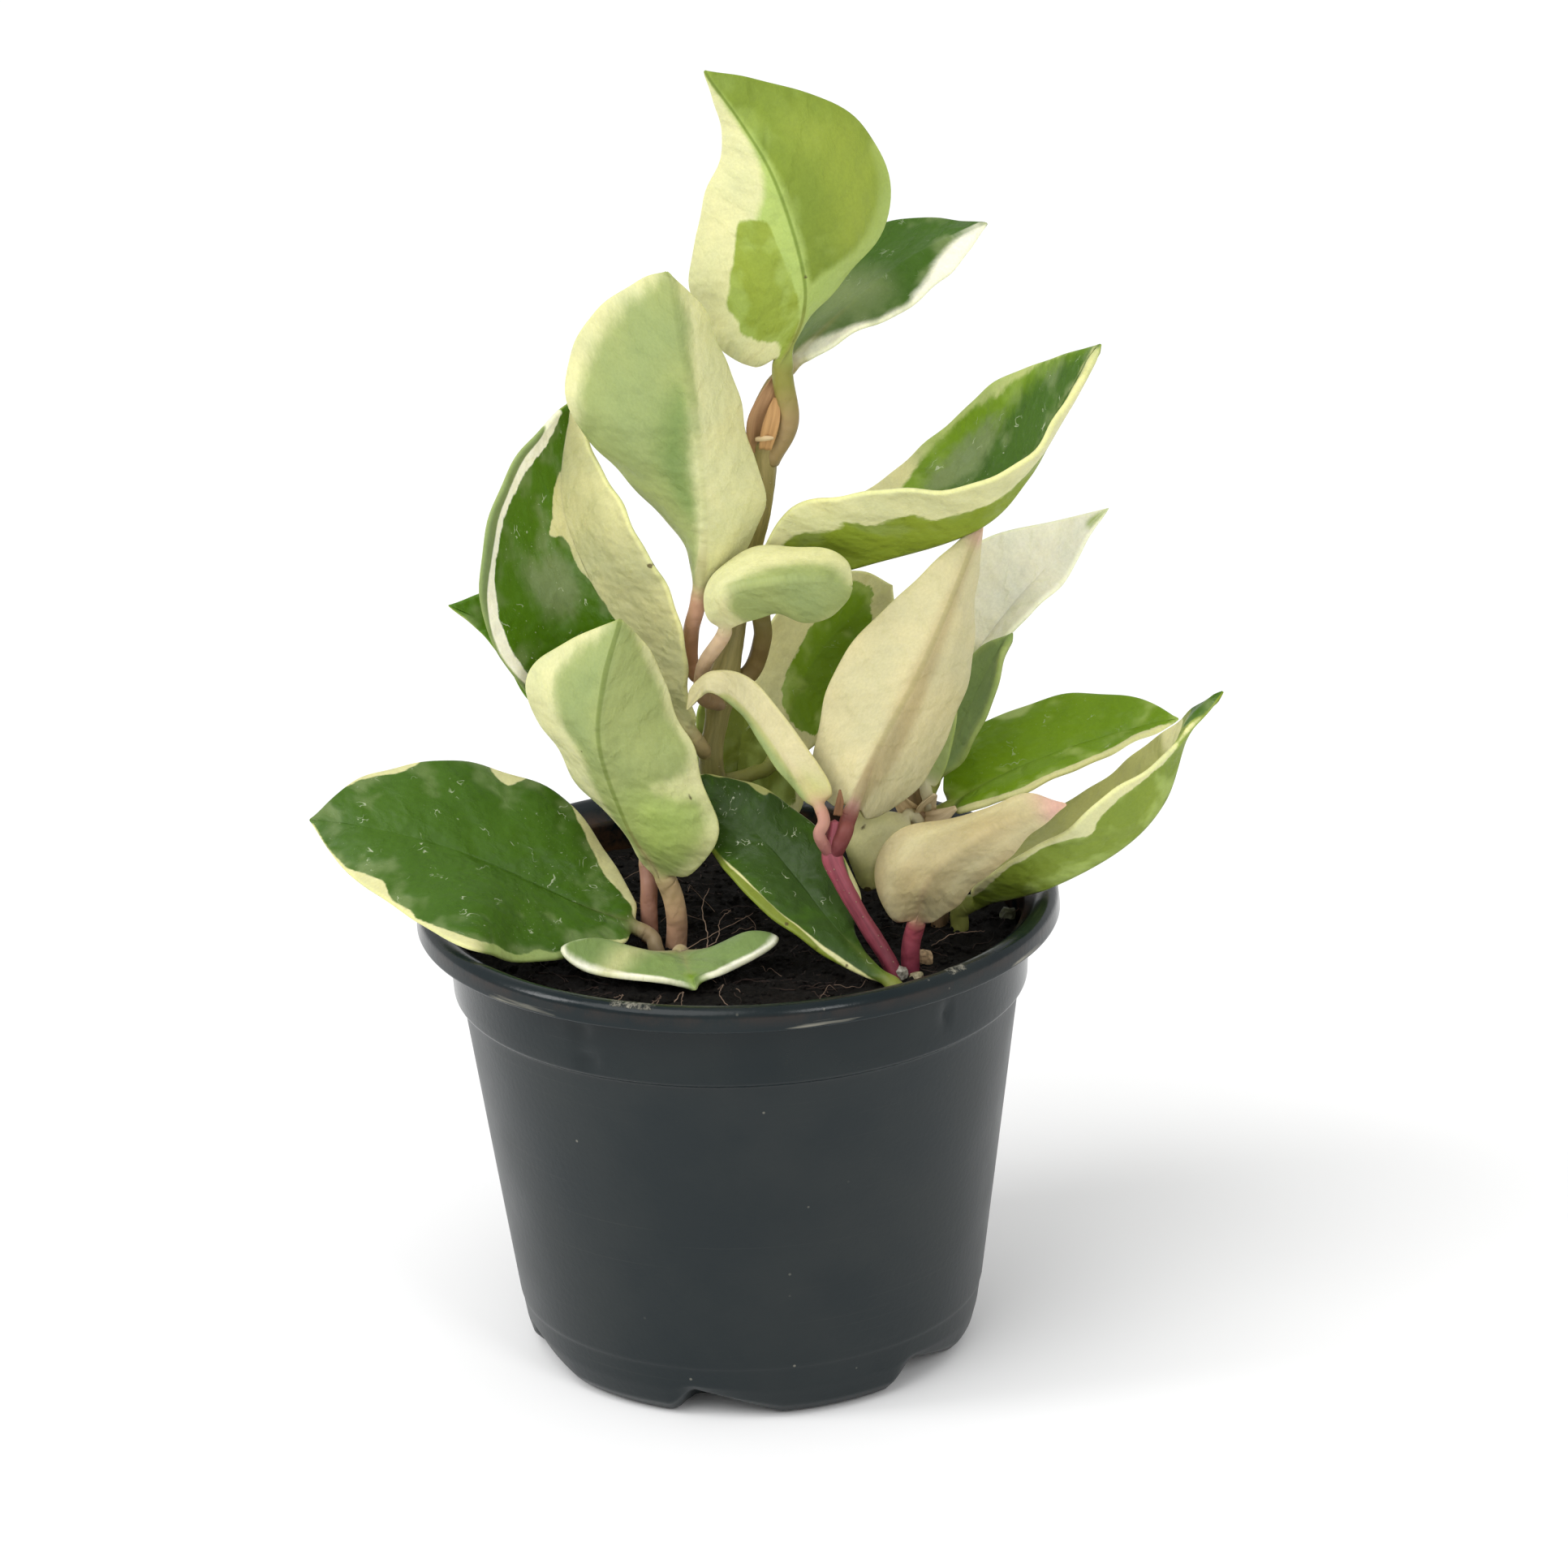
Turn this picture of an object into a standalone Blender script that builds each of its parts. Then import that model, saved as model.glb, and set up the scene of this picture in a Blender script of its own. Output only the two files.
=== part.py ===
"""Potted krimson queen hoya: a trailing wax plant in a black nursery pot.

The model stands on the plane z = 0 with the pot's axis on Z. The side that the
plant shows best looks along +Y from -Y, with +X to the right. All sizes below
are millimetres and become metres when a mesh is made.
"""
import math
from collections import namedtuple

import bmesh
import bpy
import numpy as np
from mathutils import Matrix, Vector

MM = 0.001
GAP = 0.3
SHARP_ANGLE = 50

# Pot: outer sizes of a thin moulded nursery pot.
POT_HEIGHT = 77.9
LIP_RADIUS = 52.5
LIP_DROP = 3.9
COLLAR_RADIUS = 47.6
COLLAR_FOOT = 62.8
BODY_TOP_RADIUS = 45.3
BODY_TOP = 60.0
BODY_FOOT_RADIUS = 38.4
BODY_FOOT = 10.0
BASE_RADIUS = 33.0
FLOOR_RADIUS = 27.0
WALL = 1.2
MOUTH_DROP = 3.2
POT_SEGMENTS = 48

# Half sections of the pot, from the middle of its foot outwards and up. Each row is
# radius, height and how much of a drainage notch's rise the point takes.
OUTER_WALL = [
    (FLOOR_RADIUS, 0.0, 0.0),
    (BASE_RADIUS, 0.0, 1.0),
    (BASE_RADIUS + 1.8, 0.4, 1.0),
    (BASE_RADIUS + 3.6, 2.2, 0.7),
    (BASE_RADIUS + 4.5, 5.4, 0.2),
    (BODY_FOOT_RADIUS - 0.4, BODY_FOOT - 0.5, 0.0),
    (BODY_FOOT_RADIUS, BODY_FOOT, 0.0),
    (BODY_TOP_RADIUS, BODY_TOP, 0.0),
    (BODY_TOP_RADIUS + 0.2, BODY_TOP + 0.8, 0.0),
    (COLLAR_RADIUS - 0.7, COLLAR_FOOT, 0.0),
    (COLLAR_RADIUS, POT_HEIGHT - 3.3, 0.0),
]
LIP = [
    (LIP_RADIUS - 3.0, POT_HEIGHT - 1.7, 0.0),
    (LIP_RADIUS - 1.3, POT_HEIGHT - 1.7, 0.0),
    (LIP_RADIUS - 1.1, POT_HEIGHT - LIP_DROP, 0.0),
    (LIP_RADIUS, POT_HEIGHT - LIP_DROP, 0.0),
    (LIP_RADIUS - 0.4, POT_HEIGHT - 0.9, 0.0),
    (LIP_RADIUS - 1.2, POT_HEIGHT, 0.0),
    (LIP_RADIUS - 2.4, POT_HEIGHT, 0.0),
    (LIP_RADIUS - 3.7, POT_HEIGHT - 0.7, 0.0),
]

# Drainage notches in the pot's bottom corner, each steep on one side.
NOTCH_COUNT = 6
NOTCH_HEIGHT = 4.4
NOTCH_START = -22.5
NOTCH_PEAK = -15.0
NOTCH_END = 7.5
DRAIN_RADIUS = 2.6
DRAIN_CIRCLE = 22.0
DRAIN_ANGLE = -12.0
DRAIN_REACH = 3.0
DRAIN_SIDES = 12

# Soil: fills the pot to a little under the lip and is higher at the back.
SOIL_HEIGHT = 69.6
SOIL_RISE_TO_BACK = 0.7
SOIL_LUMP = 0.35
# Lengths of the soil's lumps: across, front to back, and slanting at a share of the height.
LUMP_ACROSS = 20.3
LUMP_DEEP = 23.3
LUMP_SLANT = 37.0
LUMP_SLANT_SHARE = 0.6
LUMP_SHIFT = 1.1
SOIL_RINGS = (8.0, 18.0, 28.0, 38.0, 45.4)
SOIL_CLEARANCE = 0.35
STEM_DEPTH = 5.0
# Stones in the soil's surface: x, y and radius.
STONES = [(29.0, -23.5, 1.6), (31.0, -15.5, 1.9), (21.0, -30.5, 1.8), (43.5, 1.5, 1.2)]
STONE_LIFT = 0.3

# Blades and stems.
EDGE_THICKNESS = 0.9
MIDDLE_THICKNESS = 1.5
RIB_DEPTH = 0.7
RIB_WIDTH = 1.6
BLADE_STATIONS = 10
BLADE_COLUMNS = 3
STALK_STATIONS = 4
BASE_BLEND = 0.09
TIP_SHARE = 0.985
VINE_SIDES = 10
CURVE_STEPS = 24

# A leaf's curves run from the base of the blade to its tip. Left and right are
# as seen on the upper face with the tip up. The points follow the leaf's own
# outline, to the nearest half millimetre. bow lifts the middle of each half
# blade towards the upper face, as a share of its width.
Leaf = namedtuple("Leaf", "stalk midrib left right radius bow colour")

CREAM = (0.80, 0.79, 0.62, 1.0)
PALE_GREEN = (0.58, 0.66, 0.42, 1.0)
FRESH_GREEN = (0.28, 0.42, 0.10, 1.0)
DARK_GREEN = (0.10, 0.22, 0.07, 1.0)
GREY_GREEN = (0.45, 0.55, 0.38, 1.0)
PINK_CREAM = (0.80, 0.70, 0.60, 1.0)
OLIVE_BROWN = (0.22, 0.18, 0.09, 1.0)
CRIMSON = (0.45, 0.12, 0.14, 1.0)
BARK_BROWN = (0.30, 0.21, 0.13, 1.0)
POT_BLACK = (0.030, 0.034, 0.036, 1.0)
PEAT = (0.035, 0.025, 0.020, 1.0)
SKIN_ROUGHNESS = 0.45
BARK_ROUGHNESS = 0.6
POT_ROUGHNESS = 0.38
PEAT_ROUGHNESS = 0.95

LEAVES = {
    "leaf_top": Leaf(
        stalk=[(7.5, 9, 148), (12.5, 6, 155), (11, 5, 164.5)],
        midrib=[(11, 5, 164.5), (13.5, 2, 174.5), (13.5, 0, 183), (10, 0, 196), (5, 3, 205), (-0.5, 4, 213)],
        left=[(13.5, 4, 171.5), (19, 7, 177), (25.5, 9, 183), (28, 10, 190.5), (26, 9, 199.5),
              (20, 7, 207.5), (10, 5, 210.5)],
        right=[(6, 7, 164), (0, 9, 167), (-3, 10, 173), (-4, 10, 179), (-2, 9, 188.5), (2, 6, 201.5)],
        radius=1.3, bow=-0.1, colour=FRESH_GREEN),
    "leaf_top_right": Leaf(
        stalk=[(7, 9, 148.5), (4.5, 12, 152), (8, 13.5, 159.5), (12.5, 12, 162.5)],
        midrib=[(12.5, 12, 162.5), (20.5, 16, 170), (31, 22, 176), (44, 28, 180.5)],
        left=[(13, 18, 167.5), (16.5, 26, 174.5), (22, 30, 178.5), (29, 33, 180), (36.5, 32, 180.5)],
        right=[(16, 11, 164.5), (23, 12, 168), (30.5, 15, 170.5), (36.5, 19, 174), (41, 24, 177.5)],
        radius=1.2, bow=-0.06, colour=DARK_GREEN),
    "leaf_upper_left": Leaf(
        stalk=[(-2, 10, 109.5), (-6, 9.5, 112.5), (-6, 6.5, 120), (-4.5, 3, 127)],
        midrib=[(-4.5, 3, 127), (-3, -2, 141.5), (-4, -5, 158.5), (-6, -5, 172), (-7.5, -2, 182.5)],
        left=[(-1.5, 4, 130), (3.5, 5, 134.5), (6.5, 5, 142), (4.5, 4, 152.5), (2, 3, 163.5),
              (-2, 1, 175)],
        right=[(-5.5, 5, 132.5), (-7.5, 6.5, 137), (-13, 6.5, 144), (-20, 5, 152), (-24, 4, 160),
               (-23.5, 4, 168), (-19, 1, 175.5), (-12, -1, 181)],
        radius=1.3, bow=-0.08, colour=GREY_GREEN),
    "leaf_left_curled": Leaf(
        stalk=[(-3, 10, 97), (-4.5, 9, 98.5), (-6, 7, 101.5)],
        midrib=[(-6, 7, 101.5), (-13, 7, 113), (-21, 9, 126.5), (-26, 11.5, 142), (-24, 12, 157.5)],
        left=[(-14.5, 5, 101.5), (-26.5, 4, 104.5), (-33.5, 1.5, 113), (-38, -2, 123),
              (-39, -4, 133), (-37.5, -2, 142.5), (-32, 4, 151.5), (-27, 9, 156)],
        right=[(-5.5, 5, 105), (-7, 4, 111), (-7.5, 1, 123.5), (-11.5, 0, 140.5), (-17.5, 5.5, 147.5),
               (-22, 10, 154.5)],
        radius=1.3, bow=-0.1, colour=DARK_GREEN),
    "leaf_left_back": Leaf(
        stalk=[(-14.5, -1.5, 67), (-14.5, -1, 75.5), (-14.5, 1, 82)],
        midrib=[(-14.5, 1, 82), (-17, 9, 95), (-26, 15.5, 111), (-45.5, 17, 122.5)],
        left=[(-18.5, 5, 88), (-27, 9, 99), (-33, 12, 107.5), (-39.5, 15, 117.5)],
        right=[(-10, 8, 88.5), (-13.5, 16, 103), (-23.5, 20, 116), (-35, 20, 124)],
        radius=1.4, bow=-0.05, colour=DARK_GREEN),
    "leaf_front_pale": Leaf(
        stalk=[(-10.5, -2.5, 67), (-10, -3, 74.5), (-11.5, -4, 81.5)],
        midrib=[(-11.5, -4, 81.5), (-17, -8, 93.5), (-21, -10, 107), (-20, -9, 117.5),
                (-17, -5, 126.5)],
        left=[(-8, -5.5, 82.5), (-3.5, -7.5, 88), (-2.5, -7.5, 92.5), (-5, -6, 98.5), (-6, -5, 104.5),
              (-9, -3, 110), (-12.5, -2, 120)],
        right=[(-14.5, -4, 84), (-19, -4, 92), (-24.5, -3, 98), (-28, -2.5, 104), (-31, -2, 109),
               (-32.5, -2, 114.5), (-30.5, -3, 119.5), (-25, -4, 123)],
        radius=1.7, bow=-0.06, colour=PALE_GREEN),
    "leaf_low_left": Leaf(
        stalk=[(-13, -7, 67), (-13.5, -6.5, 70.5), (-15.5, -5, 73)],
        midrib=[(-15.5, -5, 73), (-27.5, -4, 78), (-45.5, -3, 87), (-58.5, -1, 90.5), (-69, 2, 91.5)],
        left=[(-18.5, -10, 73), (-25, -15, 73), (-34.5, -20.5, 74.5), (-39, -24, 77),
              (-43.5, -26.5, 79.5), (-53, -17, 82), (-63, -6, 85.5)],
        right=[(-16, -2, 75), (-18.5, 2, 79), (-23.5, 7, 86.5), (-30, 10, 92.5), (-40, 11, 96.5),
               (-48, 10, 98), (-60, 7, 97)],
        radius=1.5, bow=0.04, colour=DARK_GREEN),
    "leaf_front_small": Leaf(
        stalk=[(-8.5, -9, 66.5), (-9, -9, 69), (-9.5, -10, 71)],
        midrib=[(-9.5, -10, 71), (-8.5, -18, 71.5), (-7, -26.5, 71.2)],
        left=[(-4, -10.5, 72), (2.5, -11.5, 74.5), (6.5, -15.5, 74.5), (-1.5, -20.5, 72),
              (-6, -23.5, 71.8)],
        right=[(-16, -12, 72), (-23.5, -13.5, 75), (-28.5, -17.5, 75.5), (-25, -21, 73.5),
               (-14.5, -23, 72), (-9.5, -24.5, 71.2)],
        radius=1.4, bow=-0.03, colour=PALE_GREEN),
    "leaf_centre_dark": Leaf(
        stalk=[(26, -27, 66), (26, -27.5, 68.5), (24.5, -27, 71)],
        midrib=[(24.5, -27, 71), (16.5, -19.5, 76.5), (6.5, -7, 86), (-5.5, 2, 97)],
        left=[(21, -26, 71.5), (11.5, -22, 76), (2, -15, 82), (-4, -4, 86), (-6.5, -1, 92)],
        right=[(22.5, -24.5, 72.5), (18.5, -18, 76.5), (20, -12, 80.5), (18, -8.5, 84.5), (15, -6, 88.5),
               (10.5, -2, 91.5), (3.5, 1, 95.5), (-3, 3, 96.5)],
        radius=1.3, bow=0.04, colour=DARK_GREEN),
    "leaf_behind_vine": Leaf(
        stalk=[(1, 11, 82), (1.5, 14, 81.5), (0.5, 16, 84)],
        midrib=[(0.5, 16, 84), (0.5, 19, 91.5), (2, 21, 99), (4, 21, 106.5)],
        left=[(-4.5, 15, 87.5), (-6, 18, 95), (-5.5, 20, 102.5), (-0.5, 21, 106.5)],
        right=[(8, 13, 83.5), (11.5, 14, 88), (11, 17, 94.5), (8, 19, 102), (6.5, 20, 105.5)],
        radius=1.3, bow=-0.04, colour=DARK_GREEN),
    "leaf_shoot_curled": Leaf(
        stalk=[(15.5, -16, 89), (13.5, -17, 93), (14, -15.5, 96.5)],
        midrib=[(14, -15.5, 96.5), (7.5, -8, 105.5), (2, -4.5, 112), (-2.5, -4, 115), (-7, -3, 110)],
        left=[(15, -14, 99), (12, -10.5, 103), (3.5, -3.5, 113.5), (-2.5, -3, 116), (-6, -2, 113.5)],
        right=[(11, -13, 98.5), (7, -8.5, 103), (2, -4.5, 110), (-2.5, -4.5, 113.5), (-5, -3.5, 112)],
        radius=1.0, bow=0.0, colour=CREAM),
    "leaf_shoot_cream": Leaf(
        stalk=[(15.5, -16, 89), (17.5, -16.5, 93), (18.5, -14.5, 95.5)],
        midrib=[(18.5, -14.5, 95.5), (23.5, -12, 106), (30, -9, 117), (36, -4, 128.5), (41, 2, 138)],
        left=[(22, -10, 93), (27, -8, 95), (32.5, -5, 100.5), (36.5, -3, 108.5), (39, -1, 118),
              (40, 1, 129)],
        right=[(16, -10.5, 95.5), (13, -6.5, 98.5), (13.5, -5, 104.5), (15.5, -4, 113),
               (21.5, -3, 122.5), (32, -1, 131.5)],
        radius=1.3, bow=-0.06, colour=CREAM),
    "leaf_pink_low": Leaf(
        stalk=[(27.5, -17.5, 66.5), (27.5, -17.5, 73), (28.5, -17.5, 77.5)],
        midrib=[(28.5, -17.5, 77.5), (31, -22, 87.5), (39, -21, 93.5), (46.5, -17.5, 95.5), (53, -16, 96.5)],
        left=[(31.5, -17.5, 78), (36, -17, 81.5), (42, -17, 87), (48, -17, 92.5)],
        right=[(25, -16, 78), (22.5, -15.5, 83), (22.5, -15, 88.5), (26.5, -15, 92.5), (37, -14, 94.5),
               (46.5, -14, 97.5)],
        radius=1.5, bow=-0.06, colour=PINK_CREAM),
    "leaf_right_folded": Leaf(
        stalk=[(36, 0, 66.5), (36, 0, 70), (37.5, -0.5, 74)],
        midrib=[(37.5, -0.5, 74), (50.5, -7.5, 80), (61.5, -8, 86), (68.5, -7, 93.5), (73, -5, 104.5),
                (79, -4, 110.5)],
        left=[(38, 6, 77), (45.5, 9, 82.5), (56, 8, 89), (66, 5, 97.5), (72, 2, 103.5)],
        right=[(38.5, -6, 79.5), (45, -11, 86), (51.5, -13, 90), (58, -14, 96), (64.5, -12, 99.5),
               (71.5, -8, 103.5)],
        radius=1.5, bow=-0.05, colour=FRESH_GREEN),
    "leaf_right_dark": Leaf(
        stalk=[(30.5, 3, 87.5), (32, 5, 87.5), (34, 6, 88)],
        midrib=[(34, 6, 88), (44.5, 9, 92.5), (58, 12, 96.5), (73, 13, 100)],
        left=[(34.5, 12, 92.5), (37.5, 18, 97), (48, 20, 100.5), (57, 20, 102.5), (66.5, 17, 102.5)],
        right=[(37, 3, 88.5), (43, 3, 90.5), (51, 4, 93), (63, 8, 97), (69.5, 11, 98.5)],
        radius=1.3, bow=0.03, colour=DARK_GREEN),
    "leaf_back_pale": Leaf(
        stalk=[(30, 3, 88.5), (29.5, 8, 88.5), (31.5, 12, 91.5)],
        midrib=[(31.5, 12, 91.5), (37, 17, 105), (47.5, 20, 119), (62.5, 21, 134)],
        left=[(28.5, 14, 98.5), (30.5, 19, 111.5), (35.5, 22, 123.5), (42.5, 23, 129),
              (54, 23, 131.5)],
        right=[(35.5, 11, 97), (39.5, 13, 109), (47, 15, 116), (55, 18, 123), (59, 20, 129)],
        radius=1.2, bow=-0.05, colour=CREAM),
    "leaf_back_grey": Leaf(
        stalk=[(30.5, 3, 90), (31.5, 5, 91), (32.5, 7, 92.5)],
        midrib=[(32.5, 7, 92.5), (36.5, 9, 99.5), (41, 10, 108), (46, 11, 116.5)],
        left=[(32.5, 10, 96.5), (35, 12, 105.5), (40, 13, 113)],
        right=[(38, 6, 97.5), (42, 6, 106.5), (44.5, 8, 113.5)],
        radius=1.1, bow=-0.04, colour=GREY_GREEN),
    "leaf_cream_strip": Leaf(
        stalk=[(30, 3, 90), (31.5, 0, 91.5), (31, -1, 94.5)],
        midrib=[(31, -1, 94.5), (31, -0.5, 98.5), (32.8, 0.5, 105), (35, 1.5, 112.5)],
        left=[(28.5, -0.5, 95.5), (27, 0.5, 100), (29.5, 1.5, 107.5)],
        right=[(33, -0.5, 95), (35, 0.5, 99.5), (36.5, 1.5, 107)],
        radius=1.0, bow=-0.04, colour=CREAM),
    "leaf_cream_low": Leaf(
        stalk=[(30.5, 3, 86.5), (29.5, 0.5, 88.5), (28, -1, 90)],
        midrib=[(28, -1, 90), (24.5, -4.5, 88.5), (22, -6, 84), (21, -6, 79)],
        left=[(28.5, -3, 87.5), (27, -4, 83), (24, -5, 80)],
        right=[(23.5, -2, 91), (18.5, -4, 91.5), (17.5, -4, 86), (19.5, -5, 80.5)],
        radius=1.1, bow=0.04, colour=CREAM),
    "leaf_middle_green": Leaf(
        stalk=[(-3, 10, 92.5), (3, 13, 93), (6.5, 15, 94.5)],
        midrib=[(6.5, 15, 94.5), (11, 17, 106), (18, 19, 115.5), (27, 21, 122)],
        left=[(4.5, 17, 99), (4, 20, 108), (7.5, 22, 117), (15, 23, 123), (22, 23, 124)],
        right=[(11, 14, 95.5), (18.5, 15, 102), (24, 17, 109.5), (27, 19, 117)],
        radius=1.2, bow=-0.04, colour=FRESH_GREEN),
    "leaf_pad": Leaf(
        stalk=[(-1.5, 9.5, 106.5), (-4.5, 3.5, 110), (-4, 0, 116.5), (-0.5, -1.5, 122.5)],
        midrib=[(-0.5, -1.5, 122.5), (0.5, -6, 130.5), (8.5, -8, 133), (14.5, -7, 132.5), (20, -3, 130)],
        left=[(2.5, -2.5, 124.5), (7.5, -4, 126), (14, -3.5, 124.5), (18.5, -3, 126.5)],
        right=[(-3, 0, 125), (-3.5, 0, 129), (-1, 0.5, 132.5), (4.5, 0.5, 135.5), (14, -0.5, 136),
               (19, -1.5, 134)],
        radius=1.2, bow=-0.05, colour=GREY_GREEN),
    "leaf_right_long": Leaf(
        stalk=[(-0.5, 10.5, 109), (3.5, 11, 111.5), (5.5, 10, 117.5), (6, 8.5, 124)],
        midrib=[(6, 8.5, 124), (13.5, 7, 129), (22, 4.5, 131.5), (40, 0, 138.5), (48, 0, 146),
                (53, 0, 155), (60.5, 1, 167.5)],
        left=[(8.5, 14, 129.5), (15.5, 18, 134.5), (23.5, 18, 139.5), (34, 16, 148.5),
              (44.5, 13, 158.5), (55, 6, 164.5)],
        right=[(5.5, 4.5, 132.5), (9, 2, 140), (14, -1, 144), (27, -7, 147), (39.5, -8, 147.5),
               (48.5, -7, 152), (54.5, -4, 159)],
        radius=1.5, bow=-0.05, colour=PALE_GREEN),
}

# A vine's route from under the soil to its end, with the radius at each point.
Vine = namedtuple("Vine", "route radii colour")

VINES = {
    "vine_main": Vine(
        route=[(6, 12, 62), (4.5, 12, 74), (0, 11, 85), (-3.5, 10, 95.5), (-2.5, 10, 104), (-1.5, 10, 109),
               (1.5, 10, 120), (4, 9.5, 131), (6.5, 9, 140.5), (7, 9, 147.5), (7.5, 9, 151.5)],
        radii=[2.0, 2.0, 2.0, 2.0, 1.9, 2.7, 1.5, 1.4, 1.5, 2.5, 1.7], colour=OLIVE_BROWN),
    "vine_shoot": Vine(
        route=[(26, -21, 63), (24.5, -20.5, 71), (19.5, -18.5, 80), (16.5, -17, 86),
               (15.5, -16, 89), (15.8, -15.5, 92), (16, -15, 94.5)],
        radii=[1.6, 1.6, 1.6, 1.7, 2.1, 1.1, 0.8], colour=CRIMSON),
    "vine_right": Vine(
        route=[(33, 4, 63), (32, 3.5, 77.5), (30.5, 3, 86), (30, 3, 90), (29.5, 3.5, 93)],
        radii=[1.9, 1.9, 2.3, 2.5, 1.7], colour=BARK_BROWN),
}

# Leaf stalks that stand in the soil instead of on a vine.
ROOTED_LEAVES = ("leaf_left_back", "leaf_front_pale", "leaf_low_left", "leaf_front_small",
                 "leaf_centre_dark", "leaf_pink_low", "leaf_right_folded")

LEAVES_ON_VINE = {
    "vine_main": ("leaf_top", "leaf_top_right", "leaf_upper_left", "leaf_left_curled",
                  "leaf_behind_vine", "leaf_middle_green", "leaf_pad", "leaf_right_long"),
    "vine_shoot": ("leaf_shoot_curled", "leaf_shoot_cream"),
    "vine_right": ("leaf_right_dark", "leaf_back_pale", "leaf_back_grey", "leaf_cream_strip",
                   "leaf_cream_low"),
}


def clear_scene():
    """Remove every object of the open file."""
    for item in list(bpy.data.objects):
        bpy.data.objects.remove(item, do_unlink=True)


def make_material(name, colour, roughness):
    """A plain Principled material."""
    material = bpy.data.materials.new(name)
    material.use_nodes = True
    shader = material.node_tree.nodes["Principled BSDF"]
    shader.inputs["Base Color"].default_value = colour
    shader.inputs["Roughness"].default_value = roughness
    shader.inputs["Metallic"].default_value = 0.0
    material.diffuse_color = colour
    return material


def make_object(name, points, faces, material=None):
    """A mesh object from points in millimetres, its faces turned outwards."""
    mesh = bpy.data.meshes.new(name)
    mesh.from_pydata([tuple(MM * float(c) for c in p) for p in points], [], faces)
    work = bmesh.new()
    work.from_mesh(mesh)
    bmesh.ops.recalc_face_normals(work, faces=work.faces)
    if work.calc_volume(signed=True) < 0:
        bmesh.ops.reverse_faces(work, faces=work.faces)
    work.to_mesh(mesh)
    work.free()
    mesh.shade_smooth()
    mesh.set_sharp_from_angle(angle=math.radians(SHARP_ANGLE))
    item = bpy.data.objects.new(name, mesh)
    bpy.context.scene.collection.objects.link(item)
    if material:
        mesh.materials.append(material)
    return item


def cut(item, cutter, operation="DIFFERENCE"):
    """Boolean with a cutter that is hidden and left out of the part."""
    cutter.hide_render = True
    cutter.display_type = "WIRE"
    modifier = item.modifiers.new(cutter.name, "BOOLEAN")
    modifier.object = cutter
    modifier.operation = operation
    modifier.solver = "EXACT"


def unit(vectors):
    """Vectors of length one along the last axis."""
    vectors = np.asarray(vectors, float)
    return vectors / np.maximum(np.linalg.norm(vectors, axis=-1, keepdims=True), 1e-9)


def smooth_curve(points, fractions, before=None, after=None):
    """Points at the given fractions of the length of a smooth curve through points.

    before and after are points that the curve comes from and goes on to, if any.
    """
    points = np.array(points, float)
    first = 2 * points[0] - points[1] if before is None else before
    last = 2 * points[-1] - points[-2] if after is None else after
    padded = np.vstack([first, points, last])
    steps = np.linspace(0, 1, CURVE_STEPS, endpoint=False)[:, None]
    spans = []
    for a, b, c, d in zip(padded, padded[1:], padded[2:], padded[3:]):
        spans.append(0.5 * (2 * b + (c - a) * steps + (2 * a - 5 * b + 4 * c - d) * steps ** 2
                            + (3 * b - a - 3 * c + d) * steps ** 3))
    fine = np.vstack(spans + [points[-1:]])
    run = np.concatenate([[0], np.cumsum(np.linalg.norm(np.diff(fine, axis=0), axis=1))])
    return np.stack([np.interp(fractions, run / run[-1], fine[:, i]) for i in range(fine.shape[1])], -1)


def loft(rings):
    """Triangles over closed rings, with a fan at each end.

    The first half of a ring is the upper face and the second half the lower face.
    Both get the same diagonals, so a thin blade never crosses itself.
    """
    count = len(rings[0])
    half = count // 2
    points = np.vstack(rings)
    faces = []
    for i in range(len(rings) - 1):
        for j in range(count):
            a = i * count + j
            b = i * count + (j + 1) % count
            c = b + count
            d = a + count
            if j >= half:
                faces += [(a, b, d), (b, c, d)]
            else:
                faces += [(a, b, c), (a, c, d)]
    start = len(points)
    end = start + 1
    points = np.vstack([points, rings[0].mean(axis=0), rings[-1].mean(axis=0)])
    last = (len(rings) - 1) * count
    for j in range(count):
        faces.append((start, (j + 1) % count, j))
        faces.append((end, last + j, last + (j + 1) % count))
    return points, faces


def frames_along(centres, side):
    """Tangents, sides and normals along a path, with side given at its last point."""
    tangents = unit(np.gradient(centres, axis=0))
    sides = np.zeros_like(tangents)
    current = np.array(side, float)
    for i in range(len(centres) - 1, -1, -1):
        current = current - tangents[i] * np.dot(current, tangents[i])
        current = unit(current)
        sides[i] = current
    return tangents, sides, np.cross(sides, tangents)


def edge_curve(leaf, edge, fractions):
    """Points of one edge, across from those of the midrib.

    An edge is longer than the midrib. Near the base and the tip its points keep the
    midrib's spacing, and the extra length is taken up in the middle.
    """
    points = [leaf.midrib[0]] + edge + [leaf.midrib[-1]]
    pace = min(1.0, run_length(leaf.midrib) / run_length(points))
    eased = fractions ** 2 * (3 - 2 * fractions)
    return smooth_curve(points, pace * fractions + (1 - pace) * eased)


def run_length(points):
    """Length of the straight runs between points."""
    return np.linalg.norm(np.diff(np.array(points, float), axis=0), axis=1).sum()


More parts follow.
